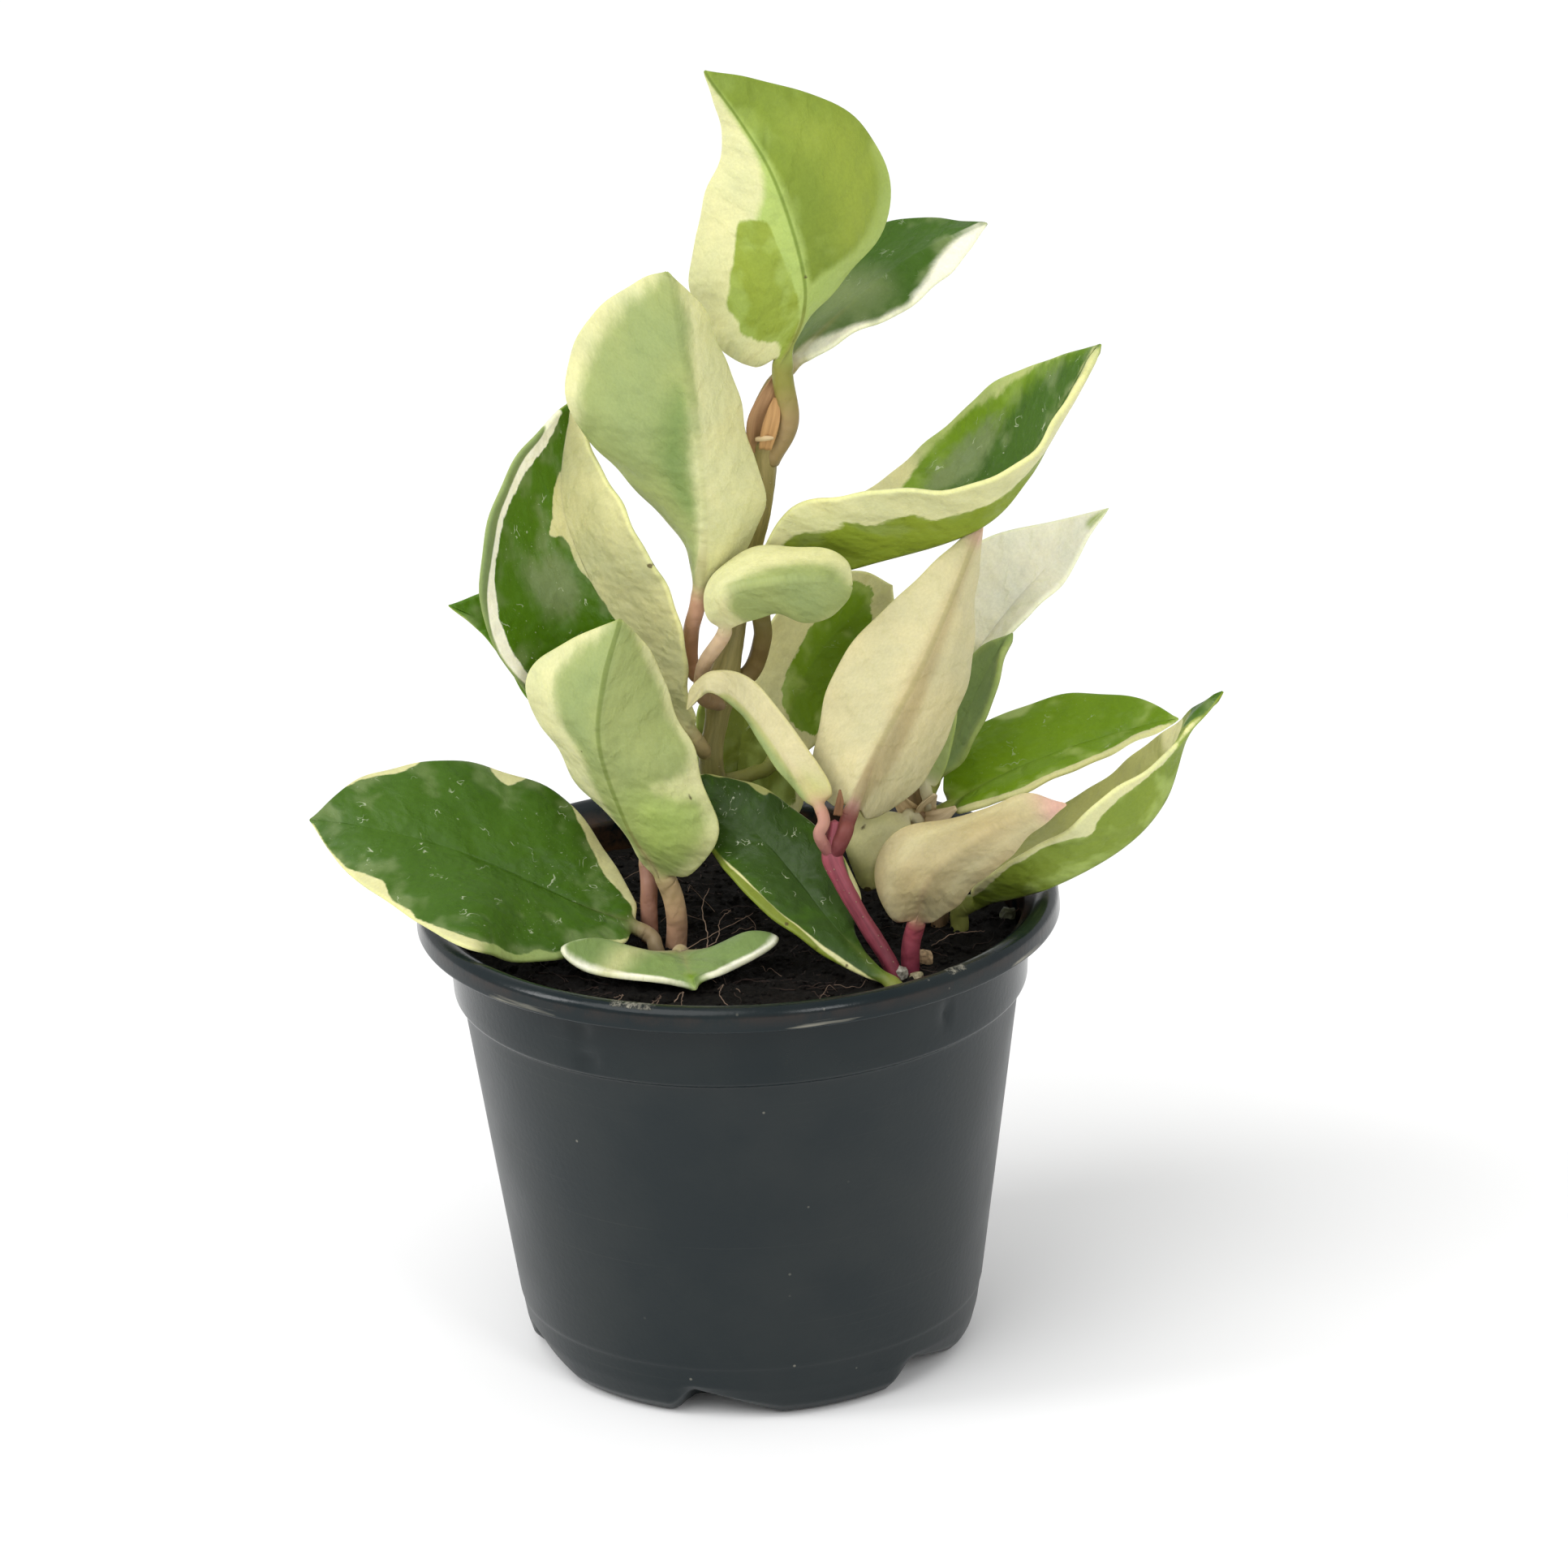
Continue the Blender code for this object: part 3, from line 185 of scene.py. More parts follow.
LEAVES = {
    "leaf_top": Leaf(
        stalk=[(7.5, 9, 148), (10.8, 6, 155)],
        midrib=[(10.2, 5, 164.5), (13.5, 2, 174.5), (13.5, 0, 183), (10, 0, 196), (5, 3, 205),
                (-0.5, 4, 213)],
        left=[(13.5, 4, 171.5), (19, 7, 177), (25.5, 9, 183), (28, 10, 190.5), (26, 9, 199.5),
              (20.3, 7, 205.8), (10, 5, 210.5)],
        right=[(6, 7, 164), (0, 9, 167), (-3, 10, 173), (-4, 10, 179), (-2, 9, 188.5), (2, 6, 201.5)],
        radius=1.7, bow=-0.1),
    "leaf_top_right": Leaf(
        stalk=[(7, 9, 148.5), (5.2, 12, 152), (8, 12.5, 158.5)],
        midrib=[(11.2, 12, 162), (20.5, 16, 170), (31, 22, 176), (44, 28, 180.5)],
        left=[(13, 18, 167.5), (16.5, 26, 174.5), (22, 30, 178.5), (29, 33, 180), (36.5, 32, 180.5)],
        right=[(15.2, 11, 164.2), (23, 12, 168), (30.5, 15, 170.5), (36.5, 19, 174), (41, 24, 177.5)],
        radius=1.2, bow=-0.06),
    "leaf_upper_left": Leaf(
        stalk=[(-2, 10, 109.5), (-6, 9.5, 112.5), (-6, 6.5, 120)],
        midrib=[(-4.5, 3, 127), (-3, -2, 141.5), (-4, -5, 158.5), (-6, -5, 172), (-7.5, -2, 182.5)],
        left=[(-1.5, 4, 130), (3.5, 5, 134.5), (6.5, 5, 142), (4.5, 4, 152.5), (2, 3, 163.5), (-2, 1, 175)],
        right=[(-5.5, 5, 132.5), (-7.5, 6.5, 137), (-13, 6.5, 144), (-20, 5, 152), (-24, 4, 160),
               (-23.5, 4, 168), (-19, 1, 175.5), (-12, -1, 181)],
        radius=1.3, bow=-0.08),
    "leaf_left_curled": Leaf(
        stalk=[(-3, 10, 97), (-4.5, 9, 98.5)],
        midrib=[(-6, 7, 101.5), (-13, 7, 113), (-21, 9, 126.5), (-26, 11.5, 142), (-24, 12, 157.5)],
        left=[(-14.5, 5, 101.5), (-26.5, 4, 104.5), (-33.5, 1.5, 113), (-38, -2, 123), (-39, -4, 133),
              (-37.5, -2, 142.5), (-32, 4, 151.5), (-27, 9, 156)],
        right=[(-5.5, 5, 105), (-7, 4, 111), (-7.5, 1, 123.5), (-14.6, 0, 140.5), (-19, 5.5, 147.5),
               (-22, 10, 154.5)],
        radius=1.3, bow=-0.1),
    "leaf_left_back": Leaf(
        stalk=[(-14.5, -1.5, 67), (-14.5, -1, 75.5)],
        midrib=[(-14.5, 1, 82), (-17, 9, 95), (-26, 15.5, 111), (-45.5, 17, 122.5)],
        left=[(-18.5, 5, 88), (-27, 9, 99), (-33, 12, 107.5), (-39.5, 15, 117.5)],
        right=[(-10, 8, 88.5), (-13.5, 16, 103), (-23.5, 20, 116), (-35, 20, 124)],
        radius=1.4, bow=-0.05),
    "leaf_front_pale": Leaf(
        stalk=[(-10.5, -2.5, 67), (-10, -3, 74.5)],
        midrib=[(-11.5, -4, 81.5), (-17, -8, 93.5), (-21, -10, 107), (-20, -9, 117.5), (-17, -5, 126.5)],
        left=[(-8, -5.5, 82.5), (-3.5, -7.5, 88), (-2.5, -7.5, 92.5), (-5, -6, 98.5), (-6, -5, 104.5),
              (-9, -3, 110), (-12.5, -2, 120)],
        right=[(-14.5, -4, 84), (-19, -4, 92), (-24.5, -3, 98), (-28, -2.5, 104), (-31, -2, 109),
               (-32.5, -2, 114.5), (-30.5, -3, 119.5), (-25, -4, 123)],
        radius=1.7, bow=-0.06),
    "leaf_low_left": Leaf(
        stalk=[(-13, -7, 67), (-13.5, -6.5, 70.5)],
        midrib=[(-15.5, -5, 73), (-27.5, -4, 78), (-45.5, -3, 87), (-58.5, -1, 90.5), (-69, 2, 91.5)],
        left=[(-18.5, -10, 73), (-25, -15, 73), (-34.5, -20.5, 74.5), (-39, -24, 77), (-43.5, -26.5, 79.5),
              (-53, -17, 82), (-63, -6, 85.5)],
        right=[(-16, -2, 75), (-18.5, 2, 79), (-23.5, 7, 86.5), (-30, 10, 92.5), (-40, 11, 96.5),
               (-48, 10, 98), (-60, 7, 97)],
        radius=1.25, bow=0.04),
    "leaf_front_small": Leaf(
        stalk=[(-8.5, -9, 66.5), (-9, -9, 69)],
        midrib=[(-9.5, -10, 71), (-8.5, -18, 71.5), (-7, -26.5, 71.2)],
        left=[(-4, -10.5, 72), (2.5, -11.5, 74.5), (6.5, -15.5, 74.5), (-1.5, -20.5, 72),
              (-6, -23.5, 71.8)],
        right=[(-16, -12, 72), (-23.5, -13.5, 75), (-28.5, -17.5, 75.5), (-25, -21, 73.5), (-14.5, -23, 72),
               (-9.5, -24.5, 71.2)],
        radius=1.4, bow=-0.03),
    "leaf_centre_dark": Leaf(
        stalk=[(26, -27, 66), (26, -27.5, 68.5)],
        midrib=[(24.5, -27, 71), (16.5, -19.5, 76.5), (6.5, -7, 86), (-5.5, 2, 97)],
        left=[(21, -26, 71.5), (11.5, -22, 76), (2, -15, 82), (-4, -4, 86), (-6.5, -1, 92)],
        right=[(22.5, -24.5, 72.5), (18.5, -18, 76.5), (20, -12, 80.5), (18, -8.5, 84.5), (15, -6, 88.5),
               (10.5, -2, 91.5), (3.5, 1, 95.5), (-3, 3, 96.5)],
        radius=1.3, bow=0.04),
    "leaf_behind_vine": Leaf(
        stalk=[(1, 11, 82), (1.5, 14, 81.5)],
        midrib=[(0.5, 16, 84), (0.5, 19, 91.5), (2, 21, 99), (4, 21, 106.5)],
        left=[(-4.5, 15, 87.5), (-6, 18, 95), (-5.5, 20, 102.5), (-0.5, 21, 106.5)],
        right=[(8, 13, 83.5), (11.5, 14, 88), (11, 17, 94.5), (8, 19, 102), (6.5, 20, 105.5)],
        radius=1.3, bow=-0.04),
    "leaf_shoot_curled": Leaf(
        stalk=[(15.5, -16, 89), (13.5, -17, 93)],
        midrib=[(14, -15.5, 96.5), (7.5, -8, 105.5), (2, -4.5, 112), (-2.5, -4, 115), (-7, -3, 110)],
        left=[(15.8, -14, 99.4), (13, -10.5, 104), (4.2, -3.5, 114.5), (-2.5, -3, 116.6), (-6, -2, 113.5)],
        right=[(10.8, -13, 98), (6.6, -8.5, 102.4), (1.6, -4.5, 109.4), (-2.7, -4.5, 113.2),
               (-5, -3.5, 112)],
        radius=1.0, bow=0.0),
    "leaf_shoot_cream": Leaf(
        stalk=[(15.5, -16, 89), (17.5, -16.5, 93)],
        midrib=[(18.5, -14.5, 95.5), (23.5, -12, 106), (30, -9, 117), (36, -4, 128.5), (41.2, 2, 139.2)],
        left=[(22, -10, 93), (27, -8, 95), (32.5, -5, 100.5), (36.5, -3, 108.5), (39, -1, 118),
              (40, 1, 129)],
        right=[(16, -10.5, 95.5), (13, -6.5, 98.5), (13.5, -5, 104.5), (15.5, -4, 113), (21.5, -3, 122.5),
               (32, -1, 131.5)],
        radius=1.3, bow=-0.06),
    "leaf_pink_low": Leaf(
        stalk=[(27.5, -17.5, 66.5), (27.5, -17.5, 73)],
        midrib=[(28.5, -17.5, 77.5), (31, -22, 87.5), (39, -21, 93.5), (46.5, -17.5, 95.5),
                (53, -16, 96.5)],
        left=[(31.5, -17.5, 78), (36, -17, 81.5), (42, -17, 87), (48, -17, 92.5)],
        right=[(25, -16, 78), (22.5, -15.5, 83), (22.5, -15, 88.5), (26.5, -15, 92.5), (37, -14, 94.5),
               (46.5, -14, 97.5)],
        radius=1.5, bow=-0.06),
    "leaf_right_folded": Leaf(
        stalk=[(36, 0, 66.5), (36, 0, 70)],
        midrib=[(37.5, -0.5, 74), (50.5, -7.5, 80), (61.5, -8, 86), (68.5, -7, 93.5), (73, -5, 104.5),
                (79, -4, 110.5)],
        left=[(38, 6, 77), (45.5, 9, 82.5), (56, 8, 89), (66, 5, 97.5), (72, 2, 103.5)],
        right=[(38.5, -6, 79.5), (45, -11, 86), (51.5, -13, 90), (58, -14, 96), (64.5, -12, 99.5),
               (71.5, -8, 103.5)],
        radius=1.5, bow=-0.05),
    "leaf_right_dark": Leaf(
        stalk=[(30.5, 3, 87.5), (32, 5, 87.5)],
        midrib=[(34, 6, 88), (44.5, 9, 92.5), (58, 12, 96.5), (73, 13, 100)],
        left=[(34.5, 12, 92.5), (37.5, 18, 97), (48, 20, 100.5), (57, 20, 102.5), (66.5, 17, 102.5)],
        right=[(37, 3, 88.5), (43, 3, 90.5), (51, 4, 93), (63, 8, 97), (69.5, 11, 98.5)],
        radius=1.3, bow=0.03),
    "leaf_back_pale": Leaf(
        stalk=[(30, 3, 88.5), (29.5, 8, 88.5)],
        midrib=[(31.5, 12, 91.5), (37, 17, 105), (47.5, 20, 119), (62.5, 21, 134)],
        left=[(28.5, 14, 98.5), (30.5, 19, 111.5), (35.5, 22, 123.5), (42.5, 23, 129), (54, 23, 131.5)],
        right=[(35.5, 11, 97), (39.5, 13, 109), (47, 15, 116), (55, 18, 123), (59, 20, 129)],
        radius=1.2, bow=-0.05),
    "leaf_back_grey": Leaf(
        stalk=[(30.5, 3, 90), (31.5, 5, 91)],
        midrib=[(32.5, 7, 92.5), (36.5, 9, 99.5), (41, 10, 108), (46, 11, 116.5)],
        left=[(32.5, 10, 96.5), (35, 12, 105.5), (40, 13, 113)],
        right=[(38, 6, 97.5), (42, 6, 106.5), (44.5, 8, 113.5)],
        radius=1.1, bow=-0.04),
    "leaf_cream_strip": Leaf(
        stalk=[(30, 3, 90), (31.5, 0, 91.5)],
        midrib=[(31, -1, 94.5), (31, -0.5, 98.5), (32.8, 0.5, 105), (35, 1.5, 112.5)],
        left=[(28.5, -0.5, 95.5), (27, 0.5, 100), (29.5, 1.5, 107.5)],
        right=[(33, -0.5, 95), (35, 0.5, 99.5), (36.5, 1.5, 107)],
        radius=1.0, bow=-0.04),
    "leaf_cream_low": Leaf(
        stalk=[(30.5, 3, 86.5), (29.5, 0.5, 88.5)],
        midrib=[(28, -1, 90), (24.5, -4.5, 88.5), (22, -6, 84), (21, -6, 79)],
        left=[(28.5, -3, 87.5), (27, -4, 83), (24, -5, 80)],
        right=[(23.5, -2, 91), (18.5, -4, 91.5), (17.5, -4, 86), (19.5, -5, 80.5)],
        radius=1.1, bow=0.04),
    "leaf_middle_green": Leaf(
        stalk=[(-3, 10, 92.5), (3, 13, 93)],
        midrib=[(6.5, 15, 94.5), (11, 17, 106), (18, 19, 115.5), (27, 21, 122)],
        left=[(4.5, 17, 99), (4, 20, 108), (7.5, 22, 117), (15, 23, 123), (22, 23, 124)],
        right=[(11, 14, 95.5), (18.5, 15, 102), (24, 17, 109.5), (27, 19, 117)],
        radius=1.2, bow=-0.04),
    "leaf_pad": Leaf(
        stalk=[(-1.5, 9.5, 106.5), (-4.5, 3.5, 110), (-4, 0, 116.5)],
        midrib=[(-0.5, -1.5, 122.5), (0.5, -6, 130.5), (8.5, -8, 133), (14.5, -7, 132.5), (20, -3, 130)],
        left=[(2.5, -2.5, 124.5), (7.5, -4, 126), (14, -3.5, 124.5), (18.5, -3, 126.5)],
        right=[(-3, 0, 125), (-3.5, 0, 129), (-1, 0.5, 132.5), (4.5, 0.5, 135.5), (14, -0.5, 136),
               (19, -1.5, 134)],
        radius=1.2, bow=-0.05),
    "leaf_right_long": Leaf(
        stalk=[(-0.5, 10.5, 109), (3.5, 11, 111.5), (5.5, 10, 117.5)],
        midrib=[(6, 8.5, 124), (13.5, 7, 129), (22, 4.5, 131.5), (40, 0, 138.5), (48, 0, 146), (53, 0, 155),
                (60.5, 1, 167.5)],
        left=[(8.5, 14, 129.5), (15.5, 18, 134.5), (23.5, 18, 139.5), (34, 16, 148.5), (44.5, 13, 158.5),
              (55, 6, 164.5)],
        right=[(5.5, 4.5, 132.5), (9, 2, 140), (14, -1, 144), (27, -7, 147), (39.5, -8, 147.5),
               (48.5, -7, 152), (54.5, -4, 159)],
        radius=1.5, bow=-0.05),
}

ROOTED_LEAVES = ("leaf_left_back", "leaf_front_pale", "leaf_low_left", "leaf_front_small",
                 "leaf_centre_dark", "leaf_pink_low", "leaf_right_folded")

# A patch of colour on a blade. Its outline is in percent: along from the blade's base 0
# to its tip 100, and across from the left margin -100 over the midrib 0 to the right
# margin 100. ragged and soft are millimetres, and thin is how much paler its green
# turns in blotches and at its border.
Patch = namedtuple("Patch", "tone outline ragged soft thin", defaults=(1.5, 0.15, 0.6))

# How a leaf looks: the tone under its patches, its patches in the order in which they
# lie on each other, the stalk's colour and that of its foot, brown specks as (along,
# across, radius in millimetres), how strong its midrib line is, how much silver
# scarring it has, and its finish slot.
Look = namedtuple("Look", "base patches stalk foot specks rib scars slot",
                  defaults=("8A8C46", "7E7C46", (), 0.35, 0.0, "leaf_green"))

LOOKS = {
    "leaf_top": Look("cream", [
        Patch("lime", [
            (-20, 10), (30, 0), (60, 2), (110, 5), (120, -60), (110, -130), (50, -150),
            (-20, -130)], 0.2, 0.4),
        Patch("fresh", [
            (105, 8), (87, 4), (60, 4), (45, 4), (36, 2), (30, -8), (32, -27), (35, -52), (38, -70),
            (43, -80), (50, -87), (57, -93), (62, -110), (110, -130), (120, -50)], 0.3, 0.8, 0.25),
        Patch("moss", [(75, -50), (70, -85), (55, -95), (42, -80), (38, -50), (50, -40)], 1.5, 4.0, 0.0),
        Patch("lime", [
            (90, 0), (80, 5), (70, 8), (62, 14), (56, 24), (52, 34), (46, 40), (30, 30), (10, 25), (5, -5),
            (50, -4)], 0.8, 1.0),
        Patch("moss", [
            (53, 51), (52.5, 30), (50, 19), (44, 15), (33, 10), (24, 5), (12, 2), (-5, -30), (-10, 40),
            (6, 34), (13, 28), (18, 50), (23, 66), (27, 64), (31, 71), (36, 63), (45, 56)], 0.7, 0.3, 0.5),
    ], stalk="8C8A44", foot="A28A60", specks=[(32.5, -2, 0.42)], rib=0.9, scars=0.1),
    "leaf_top_right": Look("ivory", [
        Patch("deep", [
            (2, -130), (6, -40), (11, -20), (17, 20), (24, 55), (36, 90), (46, 92), (52, 93), (56, 80),
            (63, 75), (71, 46), (80, 26), (88, 10), (95, 5), (102, 10), (110, -100), (95, -180), (50, -180),
            (20, -160)], 0.6, 0.8, 0.7),
        Patch("grey", [
            (5, -90), (20, -95), (40, -65), (50, -20), (50, 30), (40, 60), (25, 20), (12, -20)], 1.5, 4.0),
    ], stalk="9C8A58", foot="8E7048", scars=0.25),
    "leaf_upper_left": Look("cream", [
        Patch("wash", [
            (105, -45), (88, -36), (78, -21), (67, -6), (57, 2), (47, 8), (37, 10), (23, 10), (10, 0),
            (0, -10), (0, 60), (12, 85), (21, 90), (30, 120), (42, 120), (55, 90), (65, 84), (77, 80),
            (86, 74), (94, 68), (102, 60)], 1.2, 1.6),
        Patch("grey", [(85, -10), (70, 15), (50, 35), (40, 60), (50, 75), (68, 60), (85, 40)], 1.5, 4.0),
        Patch("sage", [(30, 12), (45, 10), (62, 2), (66, 10), (50, 32), (33, 36)], 1.0, 3.2),
    ], stalk="D2A58C", foot="A87E62", rib=0.1, slot="leaf_pale"),
    "leaf_left_curled": Look("grey", [
        Patch("ivory", [
            (-10, -100), (50, -98.5), (90, -96), (110, -94), (120, 50), (110, 140), (50, 140),
            (-10, 140)], 0.15),
        Patch("cream", [
            (-10, -30), (30, -20), (60, -30), (80, -30), (110, -50), (120, 40), (110, 140), (50, 140),
            (-10, 140)], 0.5, 0.5),
        Patch("bright", [
            (105, 60), (97, 30), (89, 5), (83, -4), (77, -15), (69, -20), (64.5, -26), (64, -12), (61, -7),
            (56, -8), (50, 0), (44, 6), (34, 4), (22, -5), (12, -30), (14, -70), (30, -88), (45, -90),
            (60, -87), (70, -82), (79, -74), (86, -60), (97, -110)], 0.8),
        Patch("grey", [(62, -60), (60, -45), (62, -25), (52, -10), (46, -28), (50, -50)], 2.4, 2.2),
    ], stalk="A69468", specks=[(53, 98, 0.5)], rib=0.15, scars=0.7),
    "leaf_left_back": Look("cream", [
        Patch("bright", [
            (5, 0), (20, -70), (50, -90), (70, -120), (110, -120), (120, 0), (110, 120), (70, 120),
            (50, 85), (20, 70)]),
    ], stalk="A87C6C", foot="7E5A4A"),
    "leaf_front_pale": Look("cream", [
        Patch("wash", [
            (100, -50), (86, -80), (76, -86), (64, -90), (53, -92), (47, -86), (44, -62), (42, -42),
            (38, -62), (36, -85), (28, -82), (18, -75), (8, -70), (-10, 0), (8, 50), (22, 45), (40, 40),
            (53, 35), (62, 50), (75, 66), (90, 60)], 1.0, 1.2),
        Patch("grey", [(86, 10), (80, 40), (70, 55), (60, 40), (50, 12), (65, 3), (80, 0)], 1.0, 2.6),
        Patch("lime", [
            (39, -30), (38, -70), (33, -82), (22, -70), (15, -35), (20, -5), (34, -12)], 1.2, 5.0),
    ], stalk="C2A680", foot="A8846A", specks=[(38.5, -80, 0.42), (39.3, -70, 0.22), (42, -81, 0.16),
       (53, 30, 0.2), (10, -15, 0.16), (37, -86, 0.2)], rib=0.7, slot="leaf_pale"),
    "leaf_low_left": Look("cream", [
        Patch("wash", [(10, -50), (20, -120), (35, -130), (45, -100), (40, -50), (20, -30)], 1.2, 1.2),
        Patch("deep", [
            (110, 100), (100, 130), (93, 130), (87, 96), (80, 90), (72, 90), (66, 110), (58, 110), (53, 90),
            (50, 84), (47.5, 95), (45, 110), (41, 110), (37, 100), (33, 90), (27, 81), (20, 68), (12, 72),
            (0, 70), (-5, -40), (8, -95), (16, -80), (22, -80), (27, -92), (31, -87), (36, -93), (42, -90),
            (47, -91), (53, -93), (60, -97), (64, -93), (68, -95), (72, -80), (78, -85), (83, -93),
            (92, -95), (100, -130), (110, -80)], 0.5),
    ], stalk="8E7A5C", foot="4A3C30", rib=0.1, scars=0.5),
    "leaf_front_small": Look("ivory", [
        Patch("sage", [
            (-20, 0), (0, -90), (25, -125), (42, -112), (53, -88), (62, -76), (78, -78), (100, -90),
            (106, 0), (100, 95), (86, 90), (70, 80), (58, 80), (47, 98), (30, 110), (0, 100)], 0.4, 0.5),
        Patch("cream", [(20, 82), (55, 74), (66, 110), (10, 120)], 0.4, 3.0),
        Patch("moss", [(75, -15), (95, -30), (110, 0), (95, 30), (75, 12)], 0.4, 1.2),
    ], stalk="A89070", foot="7A6248", rib=0.2, scars=0.3, slot="leaf_pale"),
    "leaf_centre_dark": Look("fresh", [
        Patch("cream", [
            (-10, -85), (30, -85), (60, -87), (90, -92), (110, -90), (120, 30), (110, 140), (50, 140),
            (-10, 140)], 0.15),
        Patch("olive", [(50, 60), (80, 40), (110, 20), (120, 60), (110, 140), (50, 140)], 0.3, 1.0),
        Patch("shade", [
            (108, 40), (100, 95), (97, 80), (94, 72), (92, 80), (90, 95), (84, 92), (80, 80), (77, 82),
            (76, 96), (67, 98), (50, 98), (30, 97), (10, 95), (-10, 50), (-10, -60), (17, -79), (35, -79),
            (50, -81), (65, -84), (80, -89), (95, -90)], 0.2),
    ], stalk="7A8038", foot="7A8038", specks=[(16, -93, 0.3), (27, -95, 0.25), (38, -93, 0.3),
       (55, -95, 0.2)], rib=0.15, scars=0.7),
    "leaf_behind_vine": Look("cream", [
        Patch("fresh", [
            (-10, 0), (0, -90), (30, -120), (70, -120), (105, -40), (100, 30), (80, 50), (60, 45), (50, 50),
            (45, 76), (38, 92), (20, 90)], 1.5, 0.15, 0.8),
    ], stalk="5E6A2A", foot="4E4A2C", scars=0.3),
    "leaf_shoot_curled": Look("rose", [
        Patch("olive", [(-10, -130), (10, -120), (20, 0), (10, 120), (-10, 130)], 0.3, 3.0),
        Patch("olive", [(0, 20), (20, 25), (45, 20), (70, 30), (80, 140), (40, 160), (0, 140)], 0.2, 0.4),
        Patch("grey", [(10, 55), (40, 50), (70, 60), (75, 140), (10, 140)], 0.2, 0.8),
    ], stalk="B88878", foot="8A4650", rib=0.0, slot="leaf_cream"),
    "leaf_shoot_cream": Look("rose", [
        # This patch is painted shade along the midrib's crease.
        Patch("tan", [
            (-5, 20), (10, 5), (25, 3), (40, 6), (60, 6), (80, 8), (100, 15), (100, -15), (75, -15),
            (50, -20), (25, -40), (5, -60)], 0.4, 1.5),
        Patch("pink", [(93, -50), (94, 50), (110, 40), (110, -40)], 0.2, 2.0),
        Patch("pink", [(-10, -50), (3, -50), (5, 0), (3, 50), (-10, 50)], 0.2, 1.5),
    ], stalk="74403A", foot="662A36", specks=[(32, -60, 0.12)], rib=0.3, slot="leaf_cream"),
    # Its base tone is painted shade. Its rose patches are painted light, on its lit upper edge and where its
    # lower edge turns down.
    "leaf_pink_low": Look("tan", [
        Patch("rose", [(10, 70), (40, 65), (80, 50), (90, 130), (10, 130)], 0.5, 3.0),
        Patch("rose", [(10, -50), (35, -60), (90, -40), (90, -130), (10, -130)], 0.5, 4.0),
        Patch("pink", [(90, -130), (88, 0), (90, 130), (120, 100), (120, -100)], 0.3, 2.5),
    ], stalk="944450", foot="742A3C", rib=0.0, slot="leaf_cream"),
    "leaf_right_folded": Look("cream", [
        Patch("olive", [
            (-10, 10), (30, 8), (70, 10), (76, 0), (74, -60), (72, -130), (30, -140),
            (-10, -130)], 0.3, 0.8),
        Patch("fresh", [
            (-10, 0), (20, 0), (50, -3), (75, -3), (83, -10), (86, -130), (110, -100), (120, 0), (110, 120),
            (90, 102), (78, 86), (68, 88), (58, 84), (52, 80), (48.5, 68), (46, 78), (43, 90), (32, 93),
            (22, 90), (10, 80)], 0.6),
        Patch("deep", [(88, -60), (86, 10), (89, 80), (110, 130), (120, 0), (110, -130), (90, -120)], 0.5),
    ], stalk="7C8040", foot="6E6A38", rib=0.4, scars=0.2, slot="leaf_pale"),
    "leaf_right_dark": Look("cream", [
        Patch("moss", [
            (-10, -50), (20, -130), (41, -120), (44, -100), (47, -96), (50, -100), (52, -130), (90, -140),
            (110, -80), (110, 60), (95, 78), (85, 66), (73, 82), (60, 86), (40, 85), (20, 84),
            (-10, 80)], 0.5),
        Patch("lime", [(40, -130), (42, -90), (47, -80), (52, -95), (53, -130)], 0.5, 0.5),
    ], rib=0.2, scars=0.3),
    "leaf_back_pale": Look("ivory", [
        Patch("lime", [(93, -30), (92, 20), (97, 30), (100, -20)], 0.4, 0.8),
        Patch("lime", [(0, 0), (10, -50), (35, -40), (40, 0), (20, 20)], 0.8, 2.5),
    ], stalk="C8C0A0", foot="9C9468", rib=0.1, slot="leaf_cream"),
    "leaf_back_grey": Look("wash", [
        Patch("sage", [
            (5, 0), (20, -90), (60, -110), (95, -90), (105, 0), (95, 80), (60, 85), (20, 80)], 0.7, 0.9),
    ], rib=0.2, scars=0.5, slot="leaf_pale"),
    "leaf_cream_strip": Look("cream", [
        Patch("wash", [(10, 10), (30, -20), (70, -20), (90, 20), (60, 120), (20, 120)], 0.8, 1.2),
    ], stalk="C8C0A0", foot="9C9468", rib=0.1, slot="leaf_cream"),
    "leaf_cream_low": Look("cream", [
        Patch("olive", [(75, -120), (70, 20), (75, 120), (110, 80), (110, -80)], 0.8, 3.0),
    ], stalk="C8C0A0", foot="9C9468", specks=[(44, 55, 0.28), (97, -30, 0.6), (100, 30, 0.5)], rib=0.1,
       slot="leaf_cream"),
    "leaf_middle_green": Look("cream", [
        Patch("moss", [
            (81, -70), (87, -55), (90, -20), (86, 10), (76, 55), (60, 82), (45, 90), (32, 80), (24, 82),
            (21, 54), (22, 0), (28, -22), (41, -31), (53, -35), (64, -42), (75, -52)], 1.2, 0.15, 0.6),
    ], rib=0.2, scars=0.2),
    "leaf_pad": Look("cream", [
        Patch("wash", [
            (20, -60), (30, 0), (45, 20), (60, 35), (80, 45), (95, 30), (105, -40), (90, -130), (50, -130),
            (25, -120)], 1.0, 1.6),
        Patch("grey", [(55, -40), (65, 5), (85, 10), (90, -40), (80, -90), (60, -90)], 1.0, 3.0),
    ], stalk="C0A688", foot="9A7E60", rib=0.0, slot="leaf_pale"),
    "leaf_right_long": Look("cream", [
        Patch("lime", [
            (50, -80), (60, -85), (75, -85), (90, -80), (110, -140), (80, -140), (60, -140),
            (50, -110)], 0.8, 4.0),
        Patch("moss", [
            (36, -10), (40, -70), (46, -86), (52, -92), (60, -95), (66, -92), (72, -87), (76, -90),
            (80, -94), (86, -97), (95, -120), (110, -120), (105, 0), (70, -10)], 1.2, 0.5, 0.3),
        Patch("deep", [
